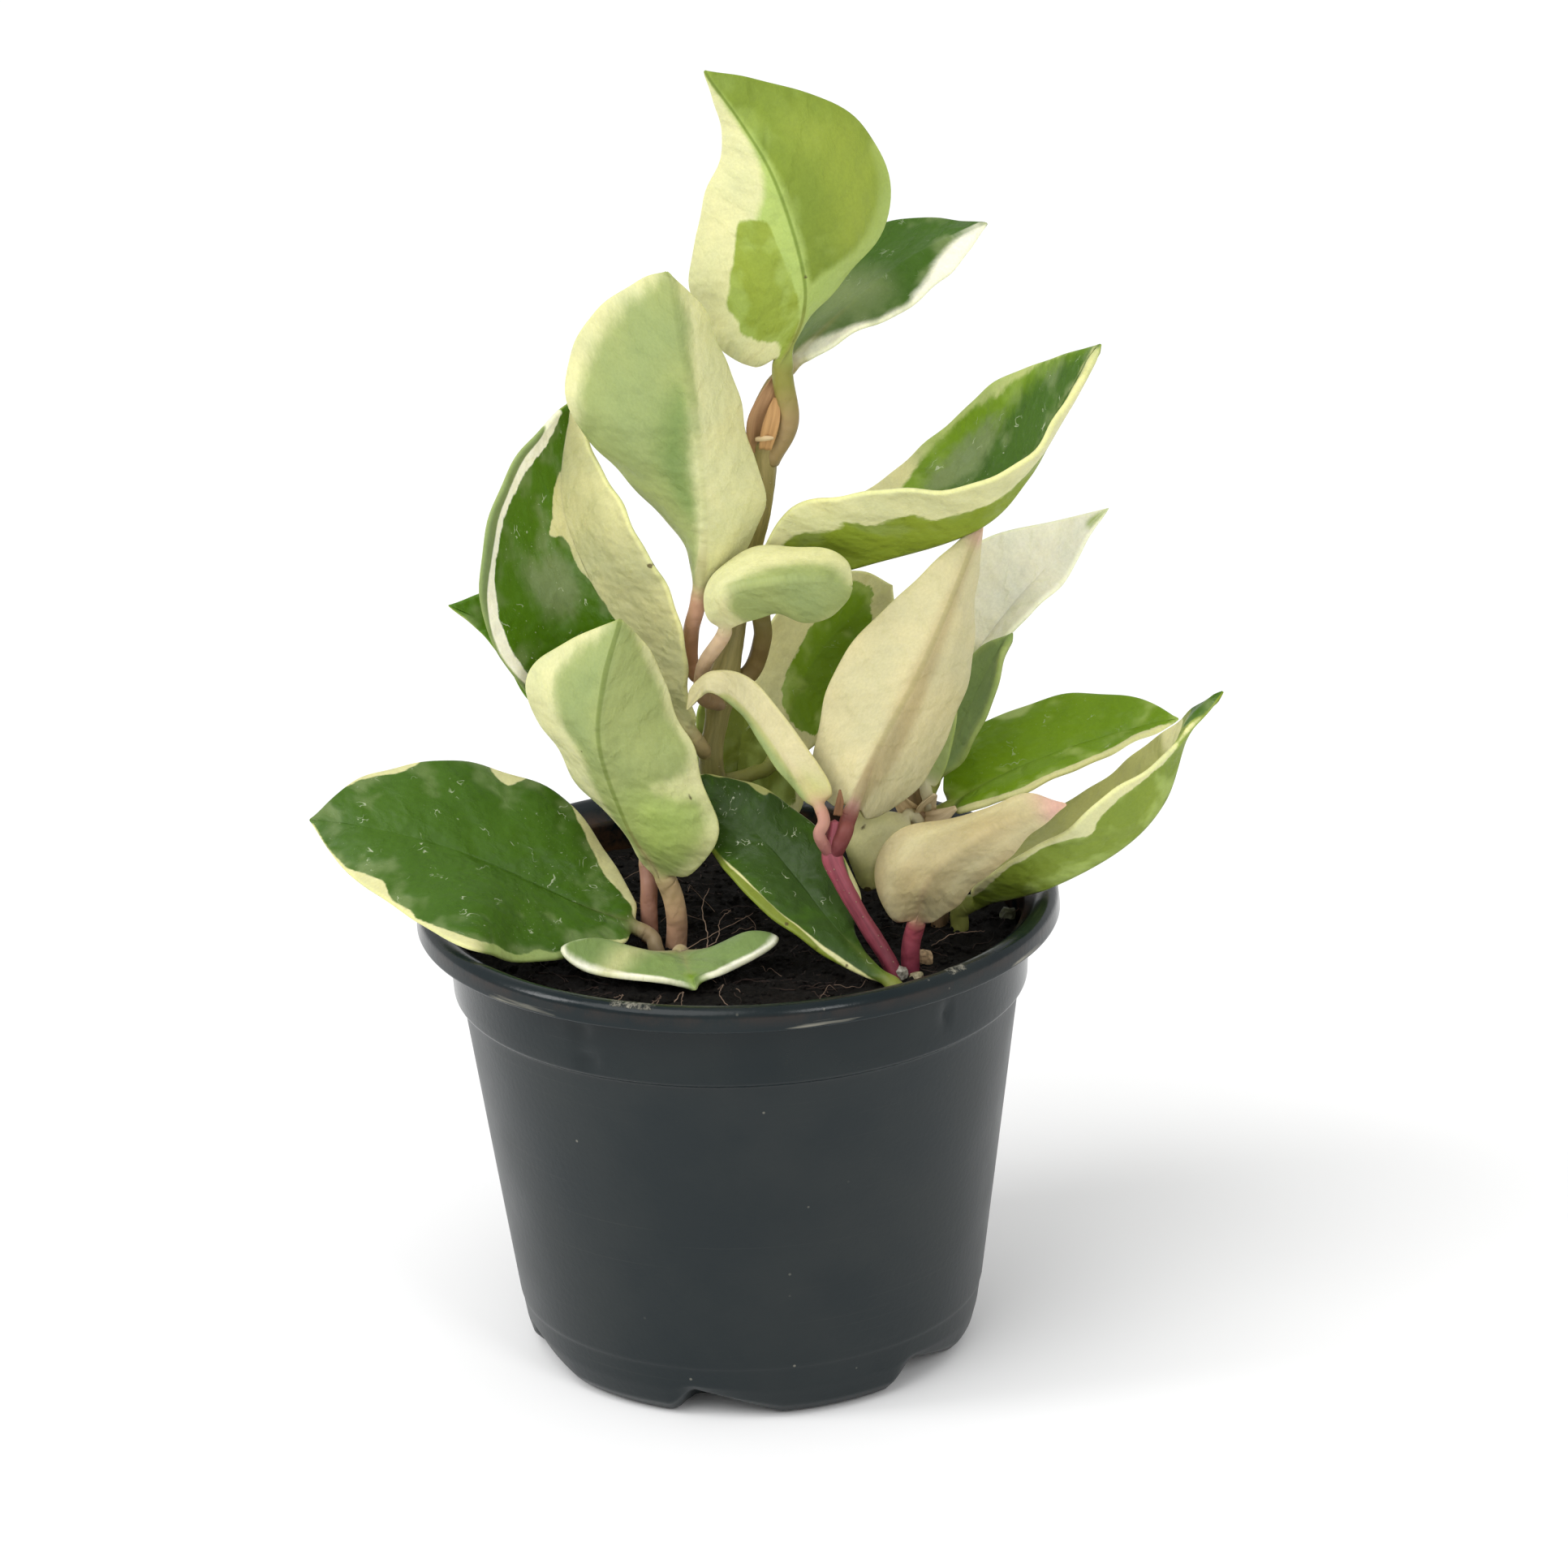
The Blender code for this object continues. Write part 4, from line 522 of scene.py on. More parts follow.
            (36, -10), (42, -50), (52, -62), (60, -68), (68, -66), (76, -72), (86, -85), (97, -120),
            (110, -100), (105, 10), (60, 10)], 2.0, 2.2, 0.6),
        Patch("grey", [(46, -66), (52, -76), (62, -78), (68, -66), (60, -52), (50, -50)], 2.4, 1.8),
        Patch("deep", [
            (12, -10), (17, 75), (22, 80), (25, 72), (29, 62), (34, 68), (38, 56), (43, 63), (47, 58),
            (48, 44), (53, 46), (58, 38), (64, 33), (72, 36), (80, 38), (90, 40), (100, 90), (110, 20),
            (90, 0), (60, -10), (40, -20), (24, -20)], 1.3, 0.4, 0.35),
    ], stalk="867A48", foot="7E6A40", rib=0.2, scars=0.5, slot="leaf_pale"),
}

# A vine's route from under the soil to its end, the radius at each point, and its
# colours at the foot and at the top.
Vine = namedtuple("Vine", "route radii foot top slot")

VINES = {
    "vine_main": Vine(
        route=[(6, 12, 62), (4.5, 12, 74), (0, 11, 85), (-3.5, 10, 95.5), (-2.5, 10, 104), (-1.5, 10, 109),
               (1.5, 10, 120), (4, 9.5, 131), (6.3, 9, 140.5), (6.6, 9, 147.5), (7.1, 9, 151.3)],
        radii=[2.0, 2.0, 2.0, 2.0, 1.9, 2.7, 1.5, 1.4, 1.5, 2.2, 2.8],
        foot="7E7C46", top="9C8E5C", slot="vine_bark"),
    "vine_shoot": Vine(
        route=[(26, -21, 63), (24.5, -20.5, 71), (19.5, -18.5, 80), (16.5, -17, 86),
               (15.5, -16, 89), (15.8, -15.5, 92), (16, -15, 94.5)],
        radii=[1.35, 1.3, 1.3, 1.45, 1.65, 1.3, 0.8],
        foot="6A2234", top="984A58", slot="vine_young"),
    "vine_right": Vine(
        route=[(33, 4, 63), (32, 3.5, 77.5), (30.5, 3, 86), (30, 3, 90), (29.5, 3.5, 93)],
        radii=[1.9, 1.9, 2.3, 2.5, 1.7],
        foot="5E4A34", top="8A7252", slot="vine_bark"),
}

# The paler tone that shows where the green layer is thin.
PALER = {"shade": "deep", "deep": "grey", "bright": "grey", "moss": "lime", "fresh": "lime"}

VINE_SIDES = 28
VINE_STATIONS = 120
SCALE_SIDES = 24
SCALE_STATIONS = 16

# How a node mixes or ranges: a colour covers another or tints it, and a range has soft ends.
COVER = {"data_type": "RGBA"}
TINT = {"data_type": "RGBA", "blend_type": "MULTIPLY"}
SMOOTH = {"interpolation_type": "SMOOTHSTEP"}


def linear(hex_colour):
    """An sRGB hex colour as linear red, green, blue and full opacity."""
    channels = [int(hex_colour[i:i + 2], 16) / 255 for i in (0, 2, 4)]
    return [c / 12.92 if c <= 0.04045 else ((c + 0.055) / 1.055) ** 2.4 for c in channels] + [1.0]


def colour_property(name, description, hex_colour):
    """A colour that a user may change."""
    return FloatVectorProperty(name=name, description=description, subtype="COLOR", size=4, min=0, max=1,
                               default=linear(hex_colour))


# The tones of the leaves: a label, what the tone is, and its colour on the upper face
# and on the underside.
TONES = {
    "shade": ("Shaded green", "The oldest green in the plant's own shade", "314A14", "7E8C3C"),
    "deep": ("Deep green", "Old green", "3E600E", "83942A"),
    "bright": ("Bright green", "Well lit green of thick leaves", "496F06", "86983A"),
    # Moss green is partly painted light: a lighter, yellower green for leaves that stand in more light.
    "moss": ("Moss green", "Yellowish green of middle leaves", "6C8C0C", "8E9E3A"),
    "fresh": ("Fresh green", "Green of the newest leaves", "76822E", "7C8F30"),
    "lime": ("Lime green", "Pale band beside the green", "A6B765", "A9BC66"),
    "sage": ("Sage green", "Silvery green of the small front leaf", "7D9356", "7B9150"),
    "wash": ("Green wash", "Thin grey-green over cream", "98A864", "9DA869"),
    "grey": ("Grey green", "Silvery green of a shaded leaf", "788956", "94A268"),
    "olive": ("Olive cream", "Cream in shade with some green", "A9A968", "B6B476"),
    "cream": ("Cream", "The variegated part without green", "D2CE98", "D6D49F"),
    "ivory": ("Ivory", "The whitest margins", "F8F4E0", "E2E2C8"),
    "rose": ("Rose cream", "A new blade's blush", "CABF95", "CAC196"),
    # The next tone is painted shade: the shadow along a crease, and the shade over a low leaf.
    "tan": ("Tan shade", "Painted shade along a crease and on a shaded leaf", "B4A277", "B4A57A"),
    "pink": ("Pink", "Blush at a tip and a base", "D2A99C", "CFA696"),
}


def tone_properties():
    """The colours of every tone, on the upper face and on the underside."""
    colours = {}
    for key, (label, meaning, upper, under) in TONES.items():
        colours[key + "_upper"] = colour_property(label + ", upper", meaning + ", upper face", upper)
        colours[key + "_under"] = colour_property(label + ", under", meaning + ", underside", under)
    return colours


class LeafSettings(PropertyGroup):
    """Colours and finish of the leaves, on the upper face and the underside."""

    __annotations__ = tone_properties()
    speck: colour_property("Speck", "Brown nicks and specks", "4A3A1C")
    scar: colour_property("Silver scar", "Thin scratches and silver flecks", "CFD6B8")
    roughness: FloatProperty(name="Roughness", description="Waxy skin, lower is shinier", default=0.42,
                             min=0, max=1, subtype="FACTOR")
    wave: FloatProperty(name="Wave", description="Height of the waves in the margins, in millimetres",
                        default=0.45, min=0, max=2)


class PotSettings(PropertyGroup):
    """Finish of the nursery pot."""

    plastic: colour_property("Plastic", "Black polypropylene", "031317")
    # Pale specks, crust and the painted highlight streaks on the lip and collar share this colour.
    dust_and_highlight: colour_property("Dust", "Specks, mineral crust and painted highlight streaks", "B9B4A2")
    peat_stain: colour_property("Peat stain", "Dried peat on the inner wall", "4A3222")
    roughness: FloatProperty(name="Roughness", description="Satin moulded surface", default=0.36,
                             min=0, max=1, subtype="FACTOR")


class SoilSettings(PropertyGroup):
    """Peat, its crumbs and its fibres."""

    peat: colour_property("Peat", "Damp dark peat", "13110E")
    fibre: colour_property("Fibre", "Coconut fibre and dead roots", "33251E")
    root: colour_property("Root", "Fine pale root hairs", "8C7868")
    crumbs: IntProperty(name="Crumbs", description="Number of loose crumbs", default=1500, min=0, max=4000)
    fibres: IntProperty(name="Fibres", description="Number of short fibres", default=260, min=0, max=1000)
    relief: FloatProperty(name="Relief", description="Height of the crumbly surface, in millimetres",
                          default=1.1, min=0, max=3)


class StageSettings(PropertyGroup):
    """Floor and lights of the picture."""

    floor: colour_property("Floor", "White paper", "FCFCFC")
    sky: FloatProperty(name="Room light", description="Strength of the even white light", default=0.74, min=0)
    window: FloatProperty(name="Overhead light", default=1.15, min=0,
                          description="Strength of the broad light from the upper left")
    key: FloatProperty(name="Left softbox", description="Power of the upright softbox on the left",
                       default=3.8, min=0, subtype="POWER", unit="POWER")
    fill: FloatProperty(name="Right softbox", description="Power of the upright softbox on the right",
                        default=2.6, min=0, subtype="POWER", unit="POWER")


def add(tree, kind, inputs=None, **fields):
    """Add one node, set its own fields, and fill or link its inputs.

    A node that is given as an input links the first output that it has in use.
    """
    node = tree.nodes.new("ShaderNode" + kind)
    for field, value in fields.items():
        setattr(node, field, value)
    for key, value in (inputs or {}).items():
        if isinstance(value, bpy.types.Node):
            value = next(output for output in value.outputs if output.enabled)
        if isinstance(value, bpy.types.NodeSocket):
            tree.links.new(value, node.inputs[key])
        else:
            node.inputs[key].default_value = value
    return node


def new_material(name):
    """An empty node material and its tree."""
    material = bpy.data.materials.new(name)
    material.use_nodes = True
    material.node_tree.nodes.clear()
    return material, material.node_tree


def place_in_mm(tree):
    """The place on a piece in millimetres."""
    spot = add(tree, "TexCoord").outputs["Object"]
    return add(tree, "VectorMath", {0: spot, "Scale": 1 / MM}, operation="SCALE")


def cloud_share(tree, place, scale, detail, low, high, least=0.0, most=1.0, roughness=0.5):
    """A value that goes from least to most where clouds pass from a low level to a high one."""
    cloud = add(tree, "TexNoise", {"Vector": place, "Scale": scale, "Detail": detail, "Roughness": roughness})
    return add(tree, "MapRange", {"Value": cloud, "From Min": low, "From Max": high, "To Min": least,
                                  "To Max": most})


def mottled(tree, colour, pattern, share, dark, light):
    """A colour tinted by a pattern. dark and light are each a level of the pattern and its tint."""
    ramp = add(tree, "ValToRGB", {0: pattern})
    for stop, (level, tint) in zip(ramp.color_ramp.elements, (dark, light)):
        stop.position = level
        stop.color = (*tint, 1.0)
    return add(tree, "Mix", {0: share, 6: colour, 7: ramp}, **TINT)


def finish(tree, colour, roughness, relief, strength, depth, values, **fields):
    """Close a material with its shader over a relief, whose depth is in millimetres."""
    bump = add(tree, "Bump", {"Strength": strength, "Distance": depth * MM, "Height": relief})
    shader = add(tree, "BsdfPrincipled", {"Base Color": colour, "Roughness": roughness, "Normal": bump,
                                          **values}, **fields)
    add(tree, "OutputMaterial", {"Surface": shader})


def unit(vectors):
    """Vectors of length one along the last axis."""
    vectors = np.asarray(vectors, float)
    return vectors / np.maximum(np.linalg.norm(vectors, axis=-1, keepdims=True), 1e-9)


def smooth_curve(points, fractions, before=None, after=None):
    """Points at the given fractions of the length of a smooth curve through points."""
    points = np.array(points, float)
    first = 2 * points[0] - points[1] if before is None else before
    last = 2 * points[-1] - points[-2] if after is None else after
    padded = np.vstack([first, points, last])
    steps = np.linspace(0, 1, CURVE_STEPS, endpoint=False)[:, None]
    spans = []
    for a, b, c, d in zip(padded, padded[1:], padded[2:], padded[3:]):
        spans.append(0.5 * (2 * b + (c - a) * steps + (2 * a - 5 * b + 4 * c - d) * steps ** 2
                            + (3 * b - a - 3 * c + d) * steps ** 3))
    fine = np.vstack(spans + [points[-1:]])
    run = np.concatenate([[0], np.cumsum(np.linalg.norm(np.diff(fine, axis=0), axis=1))])
    return np.stack([np.interp(fractions, run / run[-1], fine[:, i]) for i in range(fine.shape[1])], -1)


def sized_path(points, sizes, count):
    """Count points along a smooth curve, and the sizes there."""
    path = smooth_curve([(*point, size) for point, size in zip(points, sizes)], np.linspace(0, 1, count))
    return path[:, :3], path[:, 3]


def run_length(points):
    """Length of the straight runs between points."""
    return np.linalg.norm(np.diff(np.array(points, float), axis=0), axis=1).sum()


def ease(shares):
    """A smooth step from 0 to 1."""
    shares = np.clip(shares, 0, 1)
    return shares * shares * (3 - 2 * shares)


def frames_along(centres, side):
    """Sides and normals along a path, with side given at its last point."""
    tangents = unit(np.gradient(centres, axis=0))
    sides = np.zeros_like(tangents)
    current = np.array(side, float)
    for i in range(len(centres) - 1, -1, -1):
        current = unit(current - tangents[i] * np.dot(current, tangents[i]))
        sides[i] = current
    return sides, np.cross(sides, tangents)


def ring_faces(rings, count, start=0):
    """Quads over rings of count points each, numbered from start, with a fan at each end.

    The two fan points follow the last ring.
    """
    faces = []
    for i in range(rings - 1):
        for j in range(count):
            a = start + i * count + j
            b = start + i * count + (j + 1) % count
            faces.append((a, b, b + count, a + count))
    foot = start + rings * count
    last = start + (rings - 1) * count
    for j in range(count):
        faces.append((foot, start + (j + 1) % count, start + j))
        faces.append((foot + 1, last + j, last + (j + 1) % count))
    return faces


def circle(angles, across, up):
    """Points of a circle of radius one, spanned by two directions."""
    return np.cos(angles)[:, None] * across + np.sin(angles)[:, None] * up


def add_piece(name, points, faces, materials, node=None, attributes=None, smooth=True):
    """A mesh piece in the row frame that rides on the plant's one body."""
    mesh = bpy.data.meshes.new(name)
    mesh.from_pydata((np.asarray(points, float) * MM).tolist(), [], faces)
    for key, values in (attributes or {}).items():
        values = np.asarray(values, np.float32)
        is_vector = values.ndim == 2
        attribute = mesh.attributes.new(key, "FLOAT_VECTOR" if is_vector else "FLOAT", "POINT")
        attribute.data.foreach_set("vector" if is_vector else "value", values.ravel())
    work = bmesh.new()
    work.from_mesh(mesh)
    bmesh.ops.recalc_face_normals(work, faces=work.faces)
    work.to_mesh(mesh)
    work.free()
    if smooth:
        mesh.shade_smooth()
    for material in materials:
        mesh.materials.append(material)
    piece = bpy.data.objects.new(name, mesh)
    bpy.context.scene.collection.objects.link(piece)
    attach(piece, "root")
    if node:
        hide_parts(node)
    return piece


def edge_curve(leaf, edge, fractions):
    """Points of one margin, across from those of the midrib."""
    points = [leaf.midrib[0]] + edge + [leaf.midrib[-1]]
    pace = min(1.0, run_length(leaf.midrib) / run_length(points))
    return smooth_curve(points, pace * fractions + (1 - pace) * ease(fractions))


def blade_sheet(leaf, fractions, across):
    """The blade's middle surface: points, normals, half widths, and the frame along the midrib."""
    rib = smooth_curve(leaf.midrib, fractions, before=leaf.stalk[-1])
    left = edge_curve(leaf, leaf.left, fractions)
    right = edge_curve(leaf, leaf.right, fractions)
    tangents = unit(np.gradient(rib, axis=0))
    chords = right - left
    first, last = np.searchsorted(fractions, CHORD_SHARES)
    chords[:first] = chords[first]
    chords[last:] = chords[last]
    ups = unit(np.cross(chords, tangents))
    share = np.abs(across)[None, :, None]
    edges = np.where(across[None, :, None] < 0, left[:, None], right[:, None])
    reach = edges - rib[:, None]
    width = np.linalg.norm(reach, axis=-1, keepdims=True)
    sheet = rib[:, None] + reach * share + ups[:, None] * leaf.bow * width * 4 * share * (1 - share)
    along = np.gradient(sheet, axis=0)
    over = np.gradient(sheet, axis=1)
    over[0] = over[1]
    normals = unit(np.cross(over, along))
    return sheet, normals, width, rib, tangents, chords


def patch_depth(spots, outline):
    """How deep points lie inside an outline, in its units, and negative outside."""
    steps = np.linspace(0, 1, 8 * len(outline), endpoint=False)
    closed = smooth_curve(np.vstack([outline, outline[:1]]), steps, before=outline[-1], after=outline[1])
    ends = np.roll(closed, -1, axis=0)
    run = ends - closed
    gap = spots[:, None] - closed[None]
    share = np.clip((gap * run).sum(-1) / np.maximum((run * run).sum(-1), 1e-12), 0, 1)
    near = np.linalg.norm(gap - share[..., None] * run, axis=-1).min(axis=1)
    level = spots[:, 1:2]
    spans = (closed[:, 1] > level) != (ends[:, 1] > level)
    rise = np.where(np.abs(run[:, 1]) < 1e-12, 1e-12, run[:, 1])
    crossing = closed[:, 0] + (level - closed[:, 1]) * run[:, 0] / rise
    inside = (spans & (spots[:, :1] < crossing)).sum(axis=1) % 2 == 1
    return np.where(inside, near, -near)


def spread_columns(count):
    """Shares from -1 to 1 that lie closest at the midrib and at the margins."""
    half = np.linspace(0, 1, count + 1)
    half = half - 0.6 * np.sin(TURN * half) / TURN
    return np.concatenate([-half[:0:-1], half])


def wave_lift(across, along_mm, across_mm, hold, wave, seed):
    """How far the blade's waves lift it. They are highest at the margins."""
    share = np.abs(across)[None, :]
    phase = 1.7 * seed
    ripple = np.sin(TURN * along_mm / (LONG_WAVE + seed % 4) + phase + np.sign(across)[None, :] * 0.9)
    ripple += 0.5 * np.sin(TURN * along_mm / SHORT_WAVE + 2.3 * phase)
    swell = 0.3 * np.sin(along_mm / 5.1 + across_mm / 6.3 + phase)
    return wave * hold * (share ** 2 * ripple * 0.66 + swell * (1 - share ** 4))


def blade_depths(share, width, fractions, rib):
    """How far the upper face and the lower face lie from the blade's middle surface."""
    half_thick = (EDGE_THICKNESS + (MIDDLE_THICKNESS - EDGE_THICKNESS) * (1 - share ** 2)) / 2
    rim = np.clip(1 - RIM_WIDTH / np.maximum(width, 0.1), 0.2, 0.985)
    half_thick = half_thick * np.sqrt(np.maximum(0, 1 - np.clip((share - rim) / (1 - rim), 0, 1) ** 2))
    half_thick = np.minimum(half_thick, 0.15 + 0.5 * width)
    rib_fall = (1 - fractions)[:, None, None]
    keel = RIB_DEPTH * (0.2 + 0.25 * rib) * rib_fall * np.exp(-(width * share / RIB_WIDTH) ** 2)
    groove = GROOVE_DEPTH * (0.3 + 0.7 * rib) * rib_fall * np.exp(-(width * share / GROOVE_WIDTH) ** 2)
    return half_thick - groove, half_thick + keel


def make_leaf(name, leaf, look, settings, seed):
    """One leaf: a round stalk that opens into a waved blade with a rounded margin."""
    stalk = leaf.stalk + leaf.midrib[:1]
    if name in ROOTED_LEAVES:
        stalk = [tuple(np.array(stalk[0]) - (0, 0, STEM_DEPTH))] + stalk
    even = np.linspace(0, 1, BLADE_STATIONS + 1)
    fractions = (even + (1 - np.cos(math.pi * even)) / 2) / 2
    fractions[-1] = BLADE_END
    across = spread_columns(BLADE_COLUMNS)
    columns = len(across)
    count = 2 * columns - 2
    sheet, normals, width, rib, tangents, chords = blade_sheet(leaf, fractions, across)
    share = np.abs(across)[None, :, None]
    length = run_length(rib)
    across_mm = across[None, :] * width[..., 0]
    # The waves die out at the base and at the tip.
    hold = (ease(fractions / BASE_CALM) * ease((1 - fractions) / TIP_CALM))[:, None]
    lift = wave_lift(across, fractions[:, None] * length, across_mm, hold, settings.wave, seed)
    sheet = sheet + normals * lift[..., None]
    rise, fall = blade_depths(share, width, fractions, look.rib)
    upper = sheet + normals * rise
    lower = sheet - normals * fall

    # Each ring runs over the upper face from the left margin and back along the lower face.
    over = math.pi * (1 - (across + 1) / 2)
    rings = []
    centres = smooth_curve(stalk, np.linspace(0, 1, STALK_STATIONS + 1), after=leaf.midrib[1])
    sides, ups = frames_along(centres, chords[0])
    for i in range(STALK_STATIONS):
        # A leaf stalk is a little thicker where it leaves its stem.
        thick = leaf.radius * (1 + 0.12 * math.exp(-i / 4.0))
        top = centres[i] + thick * circle(over, sides[i], ups[i])
        bottom = centres[i] + thick * circle(-over, sides[i], ups[i])
        rings.append(np.vstack([top, bottom[-2:0:-1]]))
    for i, fraction in enumerate(fractions):
        side = unit(chords[i] - tangents[i] * np.dot(chords[i], tangents[i]))
        up = np.cross(side, tangents[i])
        blend = ease(fraction / BASE_BLEND)
        top = rib[i] + leaf.radius * circle(over, side, up)
        bottom = rib[i] + leaf.radius * circle(-over, side, up)
        top = top + (upper[i] - top) * blend
        bottom = bottom + (lower[i] - bottom) * blend
        rings.append(np.vstack([top, bottom[-2:0:-1]]))
    points = np.vstack(rings + [rings[0].mean(axis=0), rings[-1].mean(axis=0)])

    # The same place on both faces gets the same mark, because variegation goes through.
    around = np.concatenate([np.arange(columns), np.arange(columns - 2, 0, -1)])
    stalk_along = (np.linspace(0, 1, STALK_STATIONS + 1)[:-1] - 1) * run_length(centres)
    stalk_across = np.tile(across[around] * leaf.radius * 1.5, (STALK_STATIONS, 1))
    grid_across = np.vstack([stalk_across, across_mm[:, around]])
    grid_along = np.tile(np.concatenate([stalk_along, fractions * length])[:, None], (1, count))
    grid_upper = np.tile(np.concatenate([np.ones(columns), np.zeros(columns - 2)]), (len(rings), 1))
    grid_upper[:, [0, columns - 1]] = 0.5
    grid_edge = np.vstack([np.full((STALK_STATIONS, count), FAR), ((1 - share) * width)[..., 0][:, around]])
    spots = np.stack([grid_along.ravel(), grid_across.ravel()], -1)

    def ends(grid):
        """Values for the rings, then for the two fan points."""
        return np.concatenate([grid.ravel(), [grid[0].mean(), grid[-1].mean()]])

    place = np.stack([ends(grid_across), ends(grid_along), np.full(len(points), 10.0 * seed)], -1)
    attributes = {"blade_mm": place, "upper_side": ends(grid_upper), "edge_mm": ends(grid_edge)}
    levels = np.linspace(0, 1, WIDTH_SAMPLES)
    left_width, right_width = (np.interp(levels, fractions, width[:, column, 0]) for column in (0, -1))

    def to_mm(marks):
        """Percent along and across the blade as millimetres."""
        marks = np.array(marks, float) / 100
        wide = np.where(marks[:, 1] < 0, np.interp(marks[:, 0], levels, left_width),
                        np.interp(marks[:, 0], levels, right_width))
        return np.stack([marks[:, 0] * length, marks[:, 1] * wide], -1)

    for number, patch in enumerate(look.patches):
        depth = patch_depth(spots, to_mm(patch.outline))
        attributes["patch_%d_mm" % number] = np.concatenate([depth, [-FAR, depth[-count:].mean()]])
    if look.specks:
        centres_mm = to_mm([speck[:2] for speck in look.specks])
        sizes = np.array([speck[2] for speck in look.specks])
        depth = (sizes - np.linalg.norm(spots[:, None] - centres_mm, axis=-1)).max(axis=1)
        attributes["speck_mm"] = np.concatenate([depth, [-FAR, -FAR]])
    skin = leaf_skin(name + "_skin", look, settings)
    add_piece(name + "_blade", points, ring_faces(len(rings), count), [skin], node=name,
              attributes=attributes)


def leaf_skin(name, look, settings):
    """Living wax-plant leaf: thick waxy skin over soft flesh, grown and not coated.

    The wax gives broad soft highlights, the flesh lets some light through, and the
    variegation is sharp and stepped where cell layers end.
    """
    material, tree = new_material(name)
    place = add(tree, "Attribute", attribute_name="blade_mm").outputs["Vector"]
    parts = add(tree, "SeparateXYZ", {0: place})
    along = parts.outputs["Y"]
    lean = add(tree, "Math", {0: parts.outputs["X"]}, operation="ABSOLUTE")
    side = add(tree, "Attribute", attribute_name="upper_side").outputs["Fac"]
    edge = add(tree, "Attribute", attribute_name="edge_mm").outputs["Fac"]

    # Patch borders run in steps of 1 to 3 mm that are longer along the blade.
    steps = add(tree, "VectorMath", {0: place, 1: (0.55, 0.3, 1.0)}, operation="MULTIPLY")
    jag = add(tree, "TexNoise", {"Vector": steps, "Scale": 1.0, "Detail": 5.0, "Roughness": 0.6})
    jag = add(tree, "Math", {0: jag, 1: 2.0, 2: -1.0}, operation="MULTIPLY_ADD")
    # Blotches 4 to 8 mm wide, in which the green layer is thin and so paler.
    swell = add(tree, "TexNoise", {"Vector": place, "Scale": 0.2, "Detail": 2.0})
    blotch = add(tree, "Math", {0: swell, 1: 26.0, 2: -13.0}, operation="MULTIPLY_ADD")

    def tone_of(tone):
        """The tone's colour on the underside and on the upper face."""
        under, upper = (getattr(settings, tone + face) for face in ("_under", "_upper"))
        return add(tree, "Mix", {0: side, 6: under, 7: upper}, **COVER)

    colour = tone_of(look.base)
    green = 0.0
    for number, patch in enumerate(look.patches):
        depth = add(tree, "Attribute", attribute_name="patch_%d_mm" % number).outputs["Fac"]
        border = add(tree, "Math", {0: jag, 1: patch.ragged, 2: depth}, operation="MULTIPLY_ADD")
        mask = add(tree, "MapRange", {"Value": border, "From Min": -patch.soft, "From Max": patch.soft},
                   **SMOOTH)
        tone = tone_of(patch.tone)
        if patch.tone in PALER:
            thin = add(tree, "Math", {0: depth, 1: blotch}, operation="ADD")
            thin = add(tree, "MapRange", {"Value": thin, "From Min": 3.0, "From Max": -3.0,
                                          "To Max": patch.thin}, **SMOOTH)
            tone = add(tree, "Mix", {0: thin, 6: tone, 7: tone_of(PALER[patch.tone])}, **COVER)
            green = add(tree, "Math", {0: green, 1: mask}, operation="MAXIMUM")
        colour = add(tree, "Mix", {0: mask, 6: colour, 7: tone}, **COVER)

    # Tissue drifts between bluish and yellowish over 5 to 15 mm.
    drift = add(tree, "TexNoise", {"Vector": place, "Scale": 0.11, "Detail": 4.0, "Roughness": 0.55})
    tints = (0.32, (0.86, 0.90, 0.90)), (0.68, (1.08, 1.06, 1.0))
    colour = mottled(tree, colour, drift, 0.7, *tints)
    # Cells show as a fine grain, drawn at 0.5 mm because the real 0.05 mm would not show.
    grain = cloud_share(tree, place, 2.2, 3.0, 0.3, 0.7, 0.93, 1.05, roughness=0.65)
    colour = add(tree, "VectorMath", {0: colour, "Scale": grain}, operation="SCALE")

    # Side veins leave the midrib every 6 mm and lean towards the tip.
    vein = add(tree, "Math", {0: lean, 1: -0.8, 2: along}, operation="MULTIPLY_ADD")
    vein = add(tree, "Math", {0: jag, 1: 3.2, 2: vein}, operation="MULTIPLY_ADD")
    vein = add(tree, "Math", {0: vein, 1: 3.1}, operation="PINGPONG")
    vein = add(tree, "MapRange", {"Value": vein, "From Min": 0.9, "From Max": 0.0}, **SMOOTH)
    colour = add(tree, "Mix", {0: vein, 6: colour, 7: (0.975, 0.98, 0.96, 1.0)}, **TINT)

    # The midrib shows as a fine dark crease below, a line of painted shade, and a pale groove above.
    rib = add(tree, "MapRange", {"Value": lean, "From Min": 0.34, "From Max": 0.06, "To Max": look.rib},
              **SMOOTH)
    rib_shade_and_pale_tint = add(tree, "Mix", {0: side, 6: (0.46, 0.52, 0.26, 1.0), 7: (1.05, 1.07, 0.97, 1.0)}, **COVER)
    colour = add(tree, "Mix", {0: rib, 6: colour, 7: rib_shade_and_pale_tint}, **TINT)

    # The margin's last half millimetre is painted a little brighter: painted light, for light coming through
    # its translucent tissue.
    rim = add(tree, "MapRange", {"Value": edge, "From Min": 0.6, "From Max": 0.1}, **SMOOTH)
    colour = add(tree, "Mix", {0: rim, 6: colour, 7: (1.08, 1.1, 1.0, 1.0)}, clamp_result=True, **TINT)

